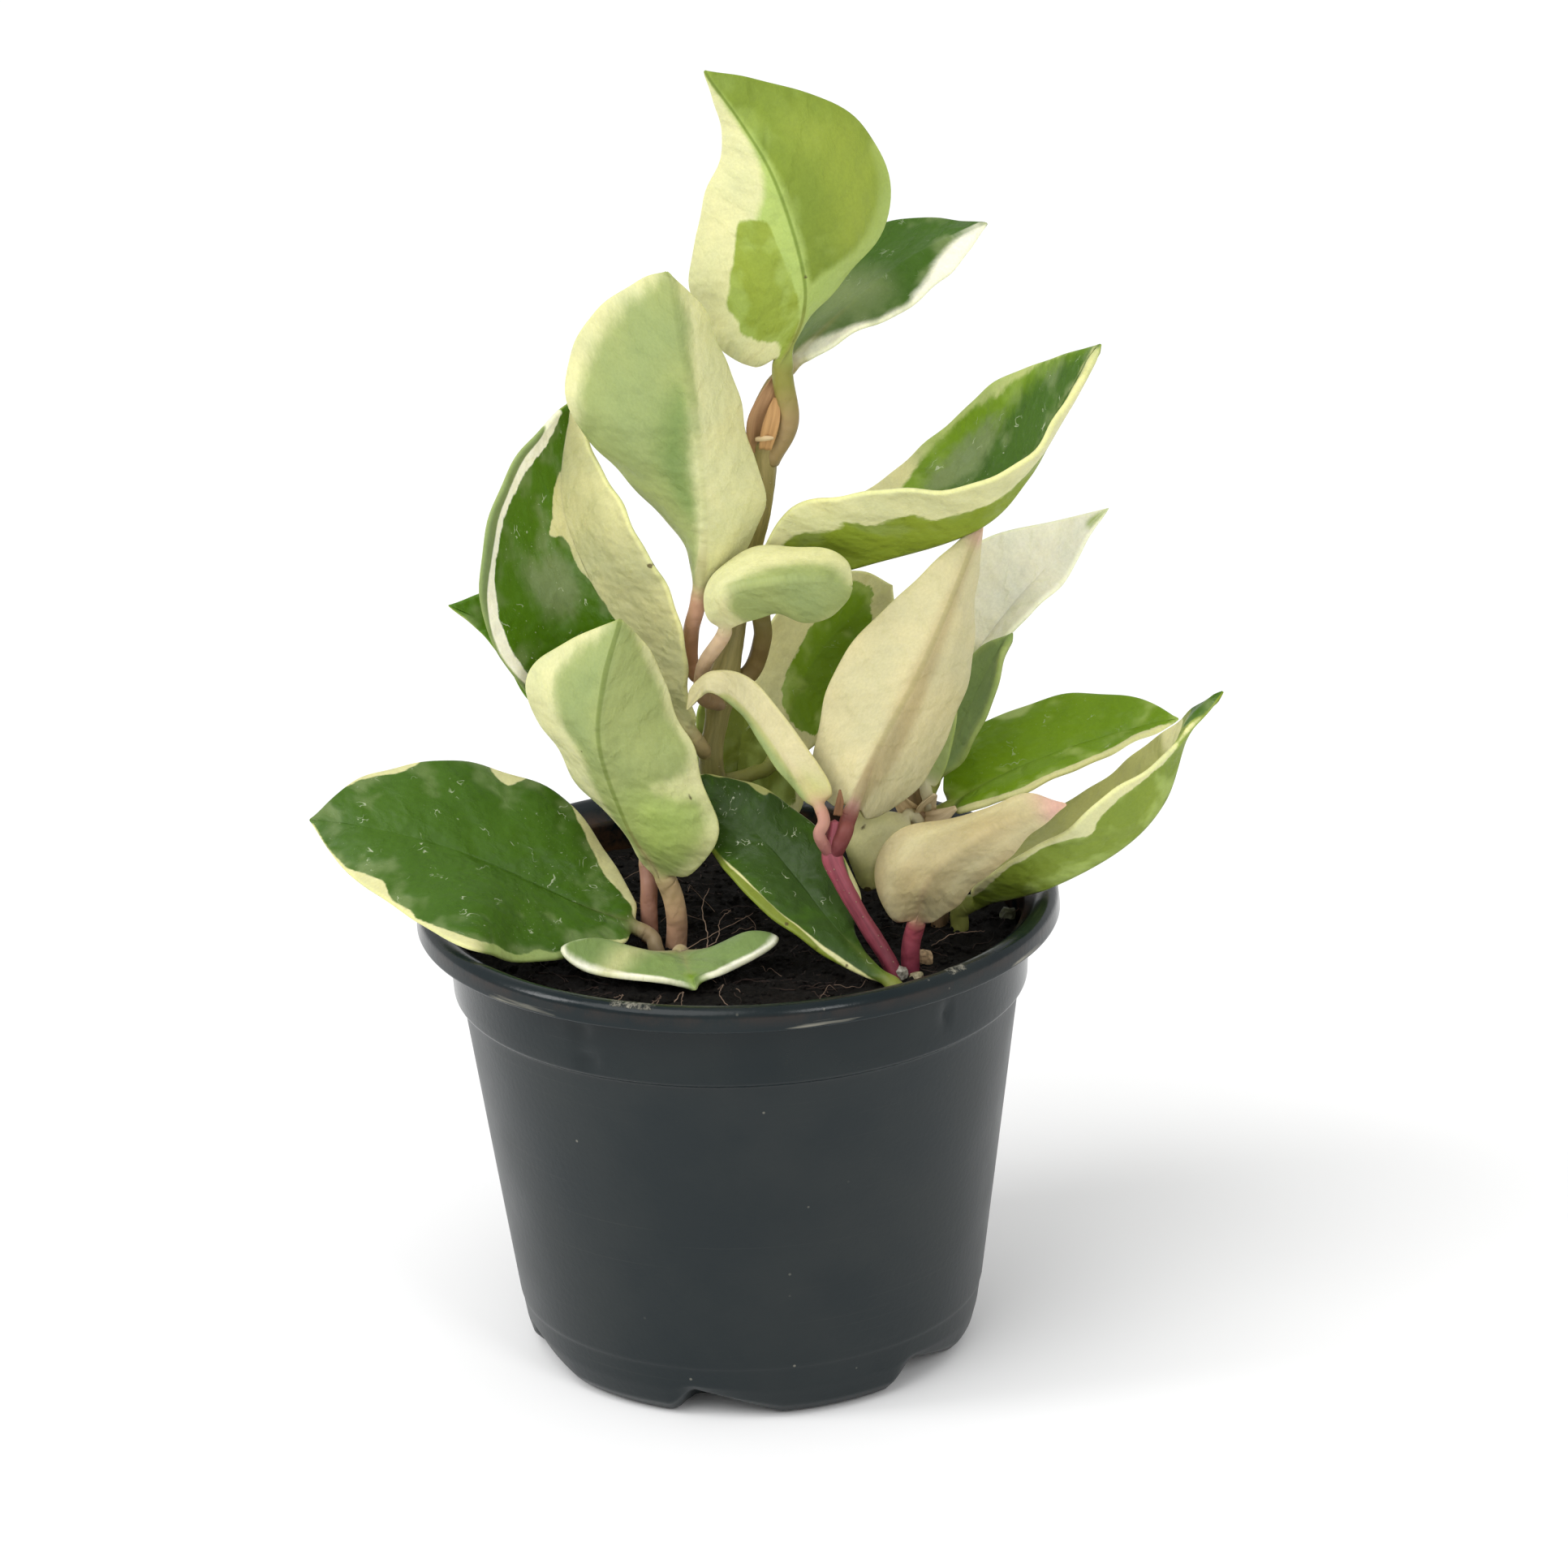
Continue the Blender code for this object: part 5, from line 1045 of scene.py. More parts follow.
    # Thin squiggles of scar and silver flecks on the upper face's green.
    if look.scars:
        line = add(tree, "TexNoise", {"Vector": place, "Scale": 0.42, "Detail": 2.0, "Distortion": 0.6})
        line = add(tree, "Math", {0: line, 1: 0.5}, operation="SUBTRACT")
        line = add(tree, "Math", {0: line}, operation="ABSOLUTE")
        line = add(tree, "MapRange", {"Value": line, "From Min": 0.014, "From Max": 0.004})
        where = cloud_share(tree, place, 0.3, 1.0, 0.62, 0.67)
        scar = add(tree, "Math", {0: line, 1: where}, operation="MULTIPLY")
        grit = cloud_share(tree, place, 2.4, 2.0, 0.67, 0.75)
        cloud = cloud_share(tree, place, 0.08, 3.0, 0.48, 0.62, most=0.7)
        silver = add(tree, "Math", {0: grit, 1: cloud}, operation="MULTIPLY")
        scar = add(tree, "Math", {0: scar, 1: silver}, operation="MAXIMUM")
        for share in (green, side, look.scars):
            scar = add(tree, "Math", {0: scar, 1: share}, operation="MULTIPLY")
        colour = add(tree, "Mix", {0: scar, 6: colour, 7: settings.scar}, **COVER)
    if look.specks:
        speck = add(tree, "Attribute", attribute_name="speck_mm").outputs["Fac"]
        speck = add(tree, "Math", {0: jag, 1: 0.5, 2: speck}, operation="MULTIPLY_ADD")
        speck = add(tree, "MapRange", {"Value": speck, "From Min": -0.1, "From Max": 0.1, "To Max": 0.85})
        colour = add(tree, "Mix", {0: speck, 6: colour, 7: settings.speck}, **COVER)

    # The stalk's own colour fades into the blade over its first 5 mm, and turns to the
    # colour of its foot 3 to 9 mm below the blade.
    stalk = add(tree, "MapRange", {"Value": along, "From Min": 5.0, "From Max": -1.0}, **SMOOTH)
    # The foot of the midrib keeps the stalk's colour in a wedge 2 mm wide and 15 mm long.
    wedge = add(tree, "Math", {0: along, 1: 0.065}, operation="MULTIPLY")
    wedge = add(tree, "Math", {0: lean, 1: 0.5, 2: wedge}, operation="MULTIPLY_ADD")
    wedge = add(tree, "MapRange", {"Value": wedge, "From Min": 1.1, "From Max": 0.4,
                                   "To Max": 0.12 + 0.55 * look.rib}, **SMOOTH)
    stalk = add(tree, "Math", {0: stalk, 1: wedge}, operation="MAXIMUM")
    down = add(tree, "MapRange", {"Value": along, "From Min": -2.5, "From Max": -9.0})
    stalk_tone = add(tree, "Mix", {0: down, 6: linear(look.stalk), 7: linear(look.foot)}, **COVER)
    stalk_tone = mottled(tree, stalk_tone, drift, 0.8, *tints)
    colour = add(tree, "Mix", {0: stalk, 6: colour, 7: stalk_tone}, **COVER)

    # Relief in millimetres: veins stand 0.04 up below, and the skin's cells are drawn
    # at 0.8 mm, coarser than the real 0.05 mm, because that would not show.
    cells = add(tree, "TexNoise", {"Vector": place, "Scale": 1.3, "Detail": 3.0, "Roughness": 0.6})
    relief = add(tree, "Math", {0: vein, 1: 0.04}, operation="MULTIPLY")
    relief = add(tree, "Math", {0: cells, 1: 0.05, 2: relief}, operation="MULTIPLY_ADD")
    relief = add(tree, "Math", {0: swell, 1: 1.2, 2: relief}, operation="MULTIPLY_ADD")
    # The underside is duller than the upper face.
    gloss = add(tree, "MapRange", {"Value": cells, "From Min": 0.3, "From Max": 0.7,
                                   "To Min": settings.roughness - 0.06, "To Max": settings.roughness + 0.1})
    dull = add(tree, "Math", {0: side, 1: -0.08, 2: 0.08}, operation="MULTIPLY_ADD")
    gloss = add(tree, "Math", {0: gloss, 1: dull}, operation="ADD")
    finish(tree, colour, gloss, relief, 1.0, 1.0,
           {"IOR": 1.45, "Subsurface Weight": 0.2, "Subsurface Radius": (1.0, 0.9, 0.35),
            "Subsurface Scale": 0.0012, "Specular IOR Level": 0.27}, subsurface_method="RANDOM_WALK")
    return material


def make_vine(name, vine, seed):
    """A vine with ridged bark, rings at its nodes and an uneven section."""
    centres, sizes = sized_path(vine.route, vine.radii, VINE_STATIONS)
    across, up = frames_along(centres, (1.0, 0.0, 0.0))
    angles = np.linspace(0, TURN, VINE_SIDES, endpoint=False)
    run = np.concatenate([[0], np.cumsum(np.linalg.norm(np.diff(centres, axis=0), axis=1))])
    rings = []
    for i in range(VINE_STATIONS):
        uneven = 0.05 * np.sin(3 * angles + run[i] / 6.0 + seed) + 0.035 * np.sin(5 * angles - run[i] / 4.0)
        knot = 0.02 * math.sin(run[i] * 0.9 + seed) + 0.01 * math.sin(run[i] * 2.7)
        size = sizes[i] * (1 + uneven + knot)
        rings.append(centres[i] + size[:, None] * circle(angles, across[i], up[i]))
    tip = rings[-1].mean(axis=0) + 0.4 * unit(centres[-1] - centres[-2])
    points = np.vstack(rings + [rings[0].mean(axis=0), tip])
    along, around = np.meshgrid(run, angles, indexing="ij")
    place = np.stack([2.0 * np.cos(around).ravel(), 2.0 * np.sin(around).ravel(), along.ravel()], -1)
    place = np.vstack([place, [0, 0, 0], [0, 0, run[-1]]])
    height = np.append((along / run[-1]).ravel(), [0.0, 1.0])
    bark = vine_bark(name + "_bark", vine)
    add_piece(name + "_stem", points, ring_faces(VINE_STATIONS, VINE_SIDES), [bark], node=name,
              attributes={"stem_mm": place, "stem_share": height})


def vine_bark(name, vine):
    """Green wood of a climbing stem: thin skin that corks over with age, grown.

    It shows fine lengthwise ridges, pale corky dots and a dull satin face.
    """
    material, tree = new_material(name)
    place = add(tree, "Attribute", attribute_name="stem_mm").outputs["Vector"]
    share = add(tree, "Attribute", attribute_name="stem_share").outputs["Fac"]
    colour = add(tree, "Mix", {0: share, 6: linear(vine.foot), 7: linear(vine.top)}, **COVER)
    # Ridges 0.5 mm apart round the stem and 8 mm long.
    stretched = add(tree, "VectorMath", {0: place, 1: (1.0, 1.0, 0.12)}, operation="MULTIPLY")
    ridge = add(tree, "TexNoise", {"Vector": stretched, "Scale": 1.4, "Detail": 4.0, "Roughness": 0.65})
    colour = mottled(tree, colour, ridge, 0.85, (0.35, (0.74, 0.76, 0.68)), (0.66, (1.22, 1.18, 1.10)))
    dots = add(tree, "TexVoronoi", {"Vector": place, "Scale": 0.8})
    dots = add(tree, "MapRange", {"Value": dots, "From Min": 0.14, "From Max": 0.07, "To Max": 0.5})
    colour = add(tree, "Mix", {0: dots, 6: colour, 7: linear("C4B48C")}, **COVER)
    relief = add(tree, "Math", {0: ridge, 1: 0.3, 2: dots}, operation="MULTIPLY_ADD")
    finish(tree, colour, 0.55, relief, 0.8, 0.3,
           {"IOR": 1.45, "Subsurface Weight": 0.08, "Subsurface Radius": (1.0, 0.6, 0.3),
            "Subsurface Scale": 0.001})
    return material


# Small papery or fleshy parts at the nodes: points from foot to tip, widths,
# thickness, the way its flat side turns, and the colour.
Scale = namedtuple("Scale", "points widths thickness side colour")

NODE_SCALES = [
    Scale([(5.9, 7.4, 149.8), (6.2, 6.0, 155.2), (7.8, 6.0, 159.2), (9.4, 7.4, 162.4)],
          [1.6, 2.1, 1.6, 0.6], 0.5, (1, 0.3, 0), "A5825C"),
    Scale([(6.9, 5.6, 150.8), (7.7, 4.5, 154.2), (8.4, 4.6, 156.8), (8.9, 5.3, 159.2)],
          [1.0, 1.35, 1.15, 0.4], 0.45, (1, 0.2, 0), "B8905E"),
    Scale([(5.6, 5.2, 152.4), (7.0, 3.9, 152.9), (8.3, 4.4, 152.8)], [0.4, 0.45, 0.3], 0.3, (0, 0, 1),
          "D2BC94"),
    Scale([(16.5, -16.8, 96.4), (16.9, -17.1, 98.6), (17.0, -17.0, 100.6)], [0.7, 0.65, 0.2], 0.4,
          (1, 0, 0), "7E5A3C"),
    Scale([(29.6, 1.0, 89.6), (27.6, -0.8, 91.6), (25.8, -1.6, 94.6)], [1.6, 1.5, 0.4], 0.2, (1, 0, 0.3),
          "C9B48C"),
    Scale([(30.6, 0.8, 90.0), (31.0, -1.4, 92.0), (32.4, -2.4, 94.0)], [1.7, 1.7, 0.5], 0.2, (1, 0, 0.5),
          "D2C09C"),
    Scale([(30.8, 0.6, 88.8), (33.0, -1.4, 89.6), (35.8, -2.0, 91.4)], [1.5, 1.4, 0.4], 0.2, (0, 0.3, 1),
          "CDBB98"),
    Scale([(29.6, 0.8, 88.4), (27.4, -1.2, 88.6), (25.0, -1.8, 90.0)], [1.3, 1.2, 0.4], 0.2, (0, 0.3, 1),
          "A88E66"),
    Scale([(30.2, 0.4, 88.2), (30.6, -1.8, 87.4), (31.6, -2.6, 85.6)], [1.2, 1.1, 0.3], 0.2, (1, 0, 0.2),
          "BCA67E"),
]


def make_scales(scales):
    """All bud scales and papery bracts as one piece."""
    points, faces, tones, places = [], [], [], []
    angles = np.linspace(0, TURN, SCALE_SIDES, endpoint=False)
    for scale in scales:
        centres, widths = sized_path(scale.points, scale.widths, SCALE_STATIONS)
        sides, ups = frames_along(centres, scale.side)
        start = len(points)
        for i in range(SCALE_STATIONS):
            # The cross section is a shallow trough with a wandering, ridged rim.
            trough = widths[i] * (0.35 * np.cos(angles) ** 2 + 0.08 * np.cos(5 * angles + 0.4 * i))
            ring = (centres[i] + np.cos(angles)[:, None] * widths[i] * sides[i]
                    + (np.sin(angles) * scale.thickness + trough)[:, None] * ups[i])
            points += [tuple(p) for p in ring]
            places += [(math.cos(a) * widths[i], start, 0.5 * i) for a in angles]
        points += [tuple(centres[0]), tuple(centres[-1])]
        places += [(0, start, 0), (0, start, 0.5 * (SCALE_STATIONS - 1))]
        faces += ring_faces(SCALE_STATIONS, SCALE_SIDES, start)
        tones += [linear(scale.colour)[:3]] * (len(points) - start)
    add_piece("bud_scales", points, faces, [bract_paper("bract_paper")],
              attributes={"bract_colour": np.array(tones), "bract_mm": np.array(places)})


def bract_paper(name):
    """Dry bud scale: dead leaf tissue that dried on the plant.

    It is papery and brown, with lengthwise fibres and no gloss.
    """
    material, tree = new_material(name)
    tone = add(tree, "Attribute", attribute_name="bract_colour").outputs["Vector"]
    place = add(tree, "Attribute", attribute_name="bract_mm").outputs["Vector"]
    # Fibres 0.6 mm apart that run the length of the scale.
    run = add(tree, "VectorMath", {0: place, 1: (1.6, 1.0, 0.12)}, operation="MULTIPLY")
    fibre = add(tree, "TexNoise", {"Vector": run, "Scale": 1.0, "Detail": 3.0})
    colour = mottled(tree, tone, fibre, 0.9, (0.35, (0.78, 0.73, 0.66)), (0.65, (1.12, 1.1, 1.06)))
    finish(tree, colour, 0.75, fibre, 0.5, 0.2, {"IOR": 1.45})
    return material


def soil_level(x, y):
    """Height of the soil's surface: a slope to the back with gentle lumps."""
    level = math.sin(TURN * x / LUMP_ACROSS + LUMP_SHIFT) * math.cos(TURN * y / LUMP_DEEP)
    slant = LUMP_SLANT_SHARE * math.sin(TURN * (x + y) / LUMP_SLANT)
    return SOIL_HEIGHT + SOIL_RISE_TO_BACK * y / COLLAR_RADIUS + SOIL_LUMP * (level + slant)


def crumble(x, y, relief):
    """Height of the crumbly peat above its even level."""
    coarse = noise.fractal(Vector((x * 0.16, y * 0.16, 3.1)), 1.0, 2.1, 3)
    fine = noise.fractal(Vector((x * 0.75, y * 0.75, 8.4)), 0.8, 2.2, 4)
    pits = min(0.0, noise.noise(Vector((x * 0.3, y * 0.3, 14.2))) + 0.12)
    return relief * (0.35 * coarse + 0.5 * fine + 1.2 * pits)


def peat_level(x, y, relief):
    """Height of the crumbly peat's surface."""
    return soil_level(x, y) + crumble(x, y, relief)


def inner_wall(depth):
    """The outer wall's points moved inwards by a depth, from the collar down."""
    wall = np.array([(0.0, 0.0, 0.0)] + OUTER_WALL)
    runs = unit(np.diff(wall[:, :2], axis=0))
    inward = np.stack([-runs[:, 1], runs[:, 0]], -1)
    moved = []
    for i in range(1, len(wall) - 1):
        radius, height = wall[i, :2] + depth * unit(inward[i - 1] + inward[i])
        moved.append((radius, height, wall[i, 2]))
    return moved[::-1]


def notch_share(angles):
    """How far the bottom corner is raised at angles in degrees, from 0 to 1."""
    turn = (angles - NOTCH_START) % (360.0 / NOTCH_COUNT)
    rise = NOTCH_PEAK - NOTCH_START
    fall = NOTCH_END - NOTCH_PEAK
    return np.where(turn <= rise, ease(turn / rise), np.clip(1 - (turn - rise) / fall, 0, 1))


def rounded(profile, radius, steps=4):
    """A profile with its corners rounded, each by up to the given radius."""
    profile = np.array(profile, float)
    result = [profile[0]]
    for before, corner, after in zip(profile, profile[1:], profile[2:]):
        back = before - corner
        on = after - corner
        reach_back = min(radius, 0.45 * np.linalg.norm(back[:2]))
        reach_on = min(radius, 0.45 * np.linalg.norm(on[:2]))
        start = corner + back * reach_back / np.linalg.norm(back[:2])
        end = corner + on * reach_on / np.linalg.norm(on[:2])
        for share in np.linspace(0, 1, steps + 1):
            result.append((1 - share) ** 2 * start + 2 * share * (1 - share) * corner + share ** 2 * end)
    result.append(profile[-1])
    return np.array(result)


def filled(profile, longest):
    """A profile with its long runs divided, so that marks can be pressed into them."""
    result = [profile[0]]
    for a, b in zip(profile, profile[1:]):
        pieces = max(1, int(math.ceil(np.linalg.norm((b - a)[:2]) / longest)))
        for k in range(1, pieces + 1):
            result.append(a + (b - a) * k / pieces)
    return np.array(result)


def degrees_from(degrees, turn):
    """How far angles lie from a turn, from -180 to 180 degrees."""
    return (degrees - turn + 180) % 360 - 180


def make_pot(settings):
    """Thin moulded nursery pot with a skirted lip, a stacking collar and a notched corner."""
    mouth = (COLLAR_RADIUS - WALL, POT_HEIGHT - 3.2, 0.0)
    profile = filled(rounded(OUTER_WALL + LIP + [mouth] + inner_wall(WALL), 0.55), 2.0)
    degrees = np.arange(POT_SEGMENTS) * 360.0 / POT_SEGMENTS
    turns = np.radians(degrees)
    radius = np.repeat(profile[:, :1], POT_SEGMENTS, axis=1)
    height = profile[:, 1:2] + profile[:, 2:3] * NOTCH_HEIGHT * notch_share(degrees)[None, :]
    outer = (np.arange(len(profile)) < len(profile) // 2)[:, None]
    for turn, level, wide, tall, depth in COLLAR_MARKS:
        away = degrees_from(degrees, turn) * math.pi / 180 * COLLAR_RADIUS
        radius = radius - outer * depth * np.exp(-(away / wide) ** 4 - ((height - level) / tall) ** 4)
    # A thin wall springs out of round by a fifth of a millimetre.
    spring = 0.18 * np.sin(2 * turns + 0.6) + 0.1 * np.sin(3 * turns + 2.0)
    radius = radius + spring[None, :] * (height / POT_HEIGHT) ** 2
    points = np.stack([radius * np.sin(turns), -radius * np.cos(turns), height], -1).reshape(-1, 3)
    points = np.vstack([points, (0, 0, 0), (0, 0, WALL)])
    crust = np.zeros_like(height)
    for turn, wide in CRUSTS:
        away = np.abs(degrees_from(degrees, turn))
        near_top = np.clip((height - POT_HEIGHT + 1.6) / 1.2, 0, 1)
        crust = np.maximum(crust, 0.86 * near_top * np.clip(1.4 - away / wide, 0, 1)[None, :])
    # Painted highlight streaks: pale bands where the softboxes would glint on the lip and the collar.
    highlight_streak = np.zeros_like(height)
    for turn, wide, level in HIGHLIGHT_STREAKS:
        away = np.abs(degrees_from(degrees, turn))
        highlight_streak = np.maximum(highlight_streak, outer * np.exp(-((height - level) / 0.7) ** 2)
                           * np.clip(1.5 - away / wide, 0, 1)[None, :])
    stain = np.where(outer, 0.0, 1.0) * np.clip((POT_HEIGHT - 1.0 - height) / 2.0, 0, 1)
    marks = {"crust": crust, "highlight_streak": highlight_streak, "stain": stain}
    skins = [moulded_polypropylene("moulded_polypropylene", settings, settings.roughness, BODY_SHEEN),
             moulded_polypropylene("polished_polypropylene", settings, LIP_ROUGHNESS, LIP_SHEEN)]
    pot = add_piece("nursery_pot", points, ring_faces(len(profile), POT_SEGMENTS), skins, node="pot",
                    attributes={key: np.append(mark.ravel(), [0.0, 0.0]) for key, mark in marks.items()})
    for face in pot.data.polygons:
        if face.center.z > (COLLAR_FOOT - 0.6) * MM:
            face.material_index = 1
    drill_drains(pot)


def drill_drains(pot):
    """Cut the round drainage holes through the pot's floor."""
    work = bmesh.new()
    for k in range(NOTCH_COUNT):
        turn = math.radians(DRAIN_ANGLE + 360.0 * k / NOTCH_COUNT)
        place = Vector((DRAIN_CIRCLE * math.sin(turn), -DRAIN_CIRCLE * math.cos(turn), WALL / 2))
        bmesh.ops.create_cone(work, cap_ends=True, segments=40, radius1=DRAIN_RADIUS * MM,
                              radius2=DRAIN_RADIUS * MM, depth=(WALL + 2 * DRAIN_REACH) * MM,
                              matrix=Matrix.Translation(place * MM))
    mesh = bpy.data.meshes.new("drain_rods")
    work.to_mesh(mesh)
    work.free()
    rods = bpy.data.objects.new("drain_rods", mesh)
    bpy.context.scene.collection.objects.link(rods)
    modifier = pot.modifiers.new("drains", "BOOLEAN")
    modifier.object = rods
    modifier.solver = "EXACT"
    graph = bpy.context.evaluated_depsgraph_get()
    drilled = bpy.data.meshes.new_from_object(pot.evaluated_get(graph), depsgraph=graph)
    pot.modifiers.clear()
    pot.data = drilled
    bpy.data.objects.remove(rods, do_unlink=True)


def moulded_polypropylene(name, settings, roughness, sheen):
    """Black polypropylene, injection moulded in a sand-blasted tool.

    The blasted tool gives a satin face with soft wide highlights that whiten at
    grazing angles, and handling leaves pale dusty specks, drag lines and mineral crust.
    Pale streaks on the lip and the collar are painted highlights.
    """
    material, tree = new_material(name)
    place = place_in_mm(tree)
    cloud = add(tree, "TexNoise", {"Vector": place, "Scale": 0.06, "Detail": 4.0})
    worn = add(tree, "MapRange", {"Value": cloud, "From Min": 0.4, "From Max": 0.7, "To Max": 0.012})
    colour = add(tree, "Mix", {0: worn, 6: settings.plastic, 7: settings.dust_and_highlight}, **COVER)
    # Dust specks 0.2 to 0.4 mm wide, one for about each 6 mm.
    cell = add(tree, "TexVoronoi", {"Vector": place, "Scale": 0.3})
    dot = add(tree, "MapRange", {"Value": cell, "From Min": 0.085, "From Max": 0.05})
    lucky = add(tree, "SeparateColor", {0: cell.outputs["Color"]})
    lucky = add(tree, "MapRange", {"Value": lucky, "From Min": 0.86, "From Max": 1.0, "To Max": 0.3})
    marks = add(tree, "Math", {0: dot, 1: lucky}, operation="MULTIPLY")

    def mark_share(attribute, pattern, low, high, most):
        """A value up to most, where a mark of the pot and a pattern pass a low level together."""
        mark = add(tree, "Attribute", attribute_name=attribute).outputs["Fac"]
        mark = add(tree, "Math", {0: mark, 1: pattern}, operation="ADD")
        return add(tree, "MapRange", {"Value": mark, "From Min": low, "From Max": high, "To Max": most})

    # Faint level drag lines from stacking.
    level = add(tree, "VectorMath", {0: place, 1: (0.02, 0.02, 2.2)}, operation="MULTIPLY")
    drag = cloud_share(tree, level, 1.0, 2.0, 0.66, 0.74, most=0.012)
    # Painted highlights: bundles of the same level lines, dense enough to whiten the lip.
    level = add(tree, "VectorMath", {0: place, 1: (0.1, 0.1, 3.0)}, operation="MULTIPLY")
    streak_lines = add(tree, "TexNoise", {"Vector": level, "Scale": 1.0, "Detail": 4.0})
    highlight_streak = mark_share("highlight_streak", streak_lines, 1.2, 1.7, 0.6)
    grains = add(tree, "TexNoise", {"Vector": place, "Scale": 0.9, "Detail": 6.0, "Roughness": 0.85})
    crust = mark_share("crust", grains, 1.31, 1.48, 0.75)
    # Specks, drag lines and crust are real marks; the painted highlight streaks take the same pale colour.
    for mark in (drag, highlight_streak, crust):
        marks = add(tree, "Math", {0: marks, 1: mark}, operation="MAXIMUM")
    colour = add(tree, "Mix", {0: marks, 6: colour, 7: settings.dust_and_highlight}, **COVER)
    # Watering leaves peat on the inner wall, in brown clouds 5 to 10 mm wide.
    stain = add(tree, "Attribute", attribute_name="stain").outputs["Fac"]
    peaty = cloud_share(tree, place, 0.15, 5.0, 0.4, 0.6, most=0.75, roughness=0.7)
    peaty = add(tree, "Math", {0: peaty, 1: stain}, operation="MULTIPLY")
    colour = add(tree, "Mix", {0: peaty, 6: colour, 7: settings.peat_stain}, **COVER)
    # The blasted grain is drawn at 0.9 mm, because the real 0.1 mm would not show.
    grain = add(tree, "TexNoise", {"Vector": place, "Scale": 1.1, "Detail": 3.0})
    relief = add(tree, "Math", {0: crust, 1: 0.5}, operation="MULTIPLY")
    relief = add(tree, "Math", {0: grain, 1: 0.05, 2: relief}, operation="MULTIPLY_ADD")
    rough = add(tree, "MapRange", {"Value": cloud, "From Min": 0.3, "From Max": 0.7,
                                   "To Min": roughness - 0.04, "To Max": roughness + 0.06})
    rough = add(tree, "Math", {0: rough, 1: marks}, operation="MAXIMUM")
    finish(tree, colour, rough, relief, 0.6, 1.0, {"IOR": 1.49, "Specular IOR Level": sheen})
    return material


def make_soil(settings):
    """Peat that fills the pot, with a crumbled surface."""
    turns = np.arange(SOIL_SEGMENTS) * TURN / SOIL_SEGMENTS
    rows = []
    for radius in SOIL_RADIUS * np.linspace(0, 1, SOIL_RINGS + 1)[1:]:
        row = []
        for turn in turns:
            x = radius * math.sin(turn)
            y = -radius * math.cos(turn)
            # The crumbs are lower beside the wall.
            hold = min(1.0, (SOIL_RADIUS + 0.8 - radius) / 2.0)
            row.append((x, y, soil_level(x, y) + hold * crumble(x, y, settings.relief)))
        rows.append(row)
    top = rows[-1][0][2] - 1.0
    for radius, height, lift in inner_wall(WALL + SOIL_CLEARANCE):
        if height < top:
            level = height + lift * NOTCH_HEIGHT * notch_share(np.degrees(turns))
            rows.append(list(zip(radius * np.sin(turns), -radius * np.cos(turns), level)))
    points = [p for row in rows for p in row]
    points += [(0, 0, peat_level(0, 0, settings.relief)), (0, 0, WALL + SOIL_CLEARANCE)]
    peat = damp_peat("damp_peat", settings)
    add_piece("potting_peat", points, ring_faces(len(rows), SOIL_SEGMENTS), [peat], node="soil")


def damp_peat(name, settings):
    """Damp peat with coconut fibre, milled and loosely filled.

    It is almost black, matt and crumbly, with reddish fibre showing in places.
    """
    material, tree = new_material(name)
    place = place_in_mm(tree)
    rusty = cloud_share(tree, place, 0.09, 5.0, 0.5, 0.75, most=0.22, roughness=0.7)
    colour = add(tree, "Mix", {0: rusty, 6: settings.peat, 7: settings.fibre}, **COVER)
    crumbs = add(tree, "TexNoise", {"Vector": place, "Scale": 1.6, "Detail": 6.0, "Roughness": 0.75})
    # The crumbs' pattern also makes their relief: painted shade darkens their hollows and painted light
    # brightens their tops.
    colour = mottled(tree, colour, crumbs, 1.0, (0.38, (0.3, 0.3, 0.3)), (0.66, (1.9, 1.8, 1.75)))
    finish(tree, colour, 0.9, crumbs, 1.0, 0.6, {"IOR": 1.4, "Specular IOR Level": 0.25})
    return material


def lump(centre, size, seed, subdivisions=1, flat=0.75):
    """Points and faces of an irregular crumb or stone."""
    work = bmesh.new()
    bmesh.ops.create_icosphere(work, subdivisions=subdivisions, radius=1.0)
    points = []
    for vertex in work.verts:
        bend = 1 + 0.45 * noise.noise(vertex.co * 1.3 + Vector((seed * 3.7, seed * 1.3, 0)))
        points.append((centre[0] + size * bend * vertex.co.x, centre[1] + size * bend * vertex.co.y * 0.85,
                       centre[2] + size * bend * vertex.co.z * flat))
    faces = [tuple(v.index for v in face.verts) for face in work.faces]
    work.free()
    return points, faces


def random_spot(chance, reach):
    """A spread-out place on the soil inside a radius."""
    turn = chance.uniform(0, TURN)
    radius = reach * math.sqrt(chance.uniform(0, 1))
    return radius * math.sin(turn), -radius * math.cos(turn)


def make_crumbs(settings):
    """Loose crumbs of peat on the surface, as one piece."""
    chance = random.Random(11)
    points, faces = [], []
    for k in range(settings.crumbs):
        x, y = random_spot(chance, SOIL_RADIUS - 1.0)
        size = chance.uniform(0.25, 0.6) * (1.8 if chance.random() < 0.12 else 1.0)
        new_points, new_faces = lump((x, y, peat_level(x, y, settings.relief) + 0.3 * size), size, k)
        start = len(points)
        points += new_points
        faces += [tuple(start + i for i in face) for face in new_faces]
    add_piece("peat_crumbs", points, faces, [damp_peat("peat_crumb", settings)], smooth=False)


def make_stones():
    """Grit stones that lie in the peat."""
    for number, (x, y, size, tone) in enumerate(STONES, 1):
        points, faces = lump((x, y, soil_level(x, y) + 0.55 * size), size, 39 + number, 2, 0.9)
        add_piece("grit_%d" % number, points, faces, [quartz_grit("quartz_grit_%d" % number, tone)],
                  smooth=False)


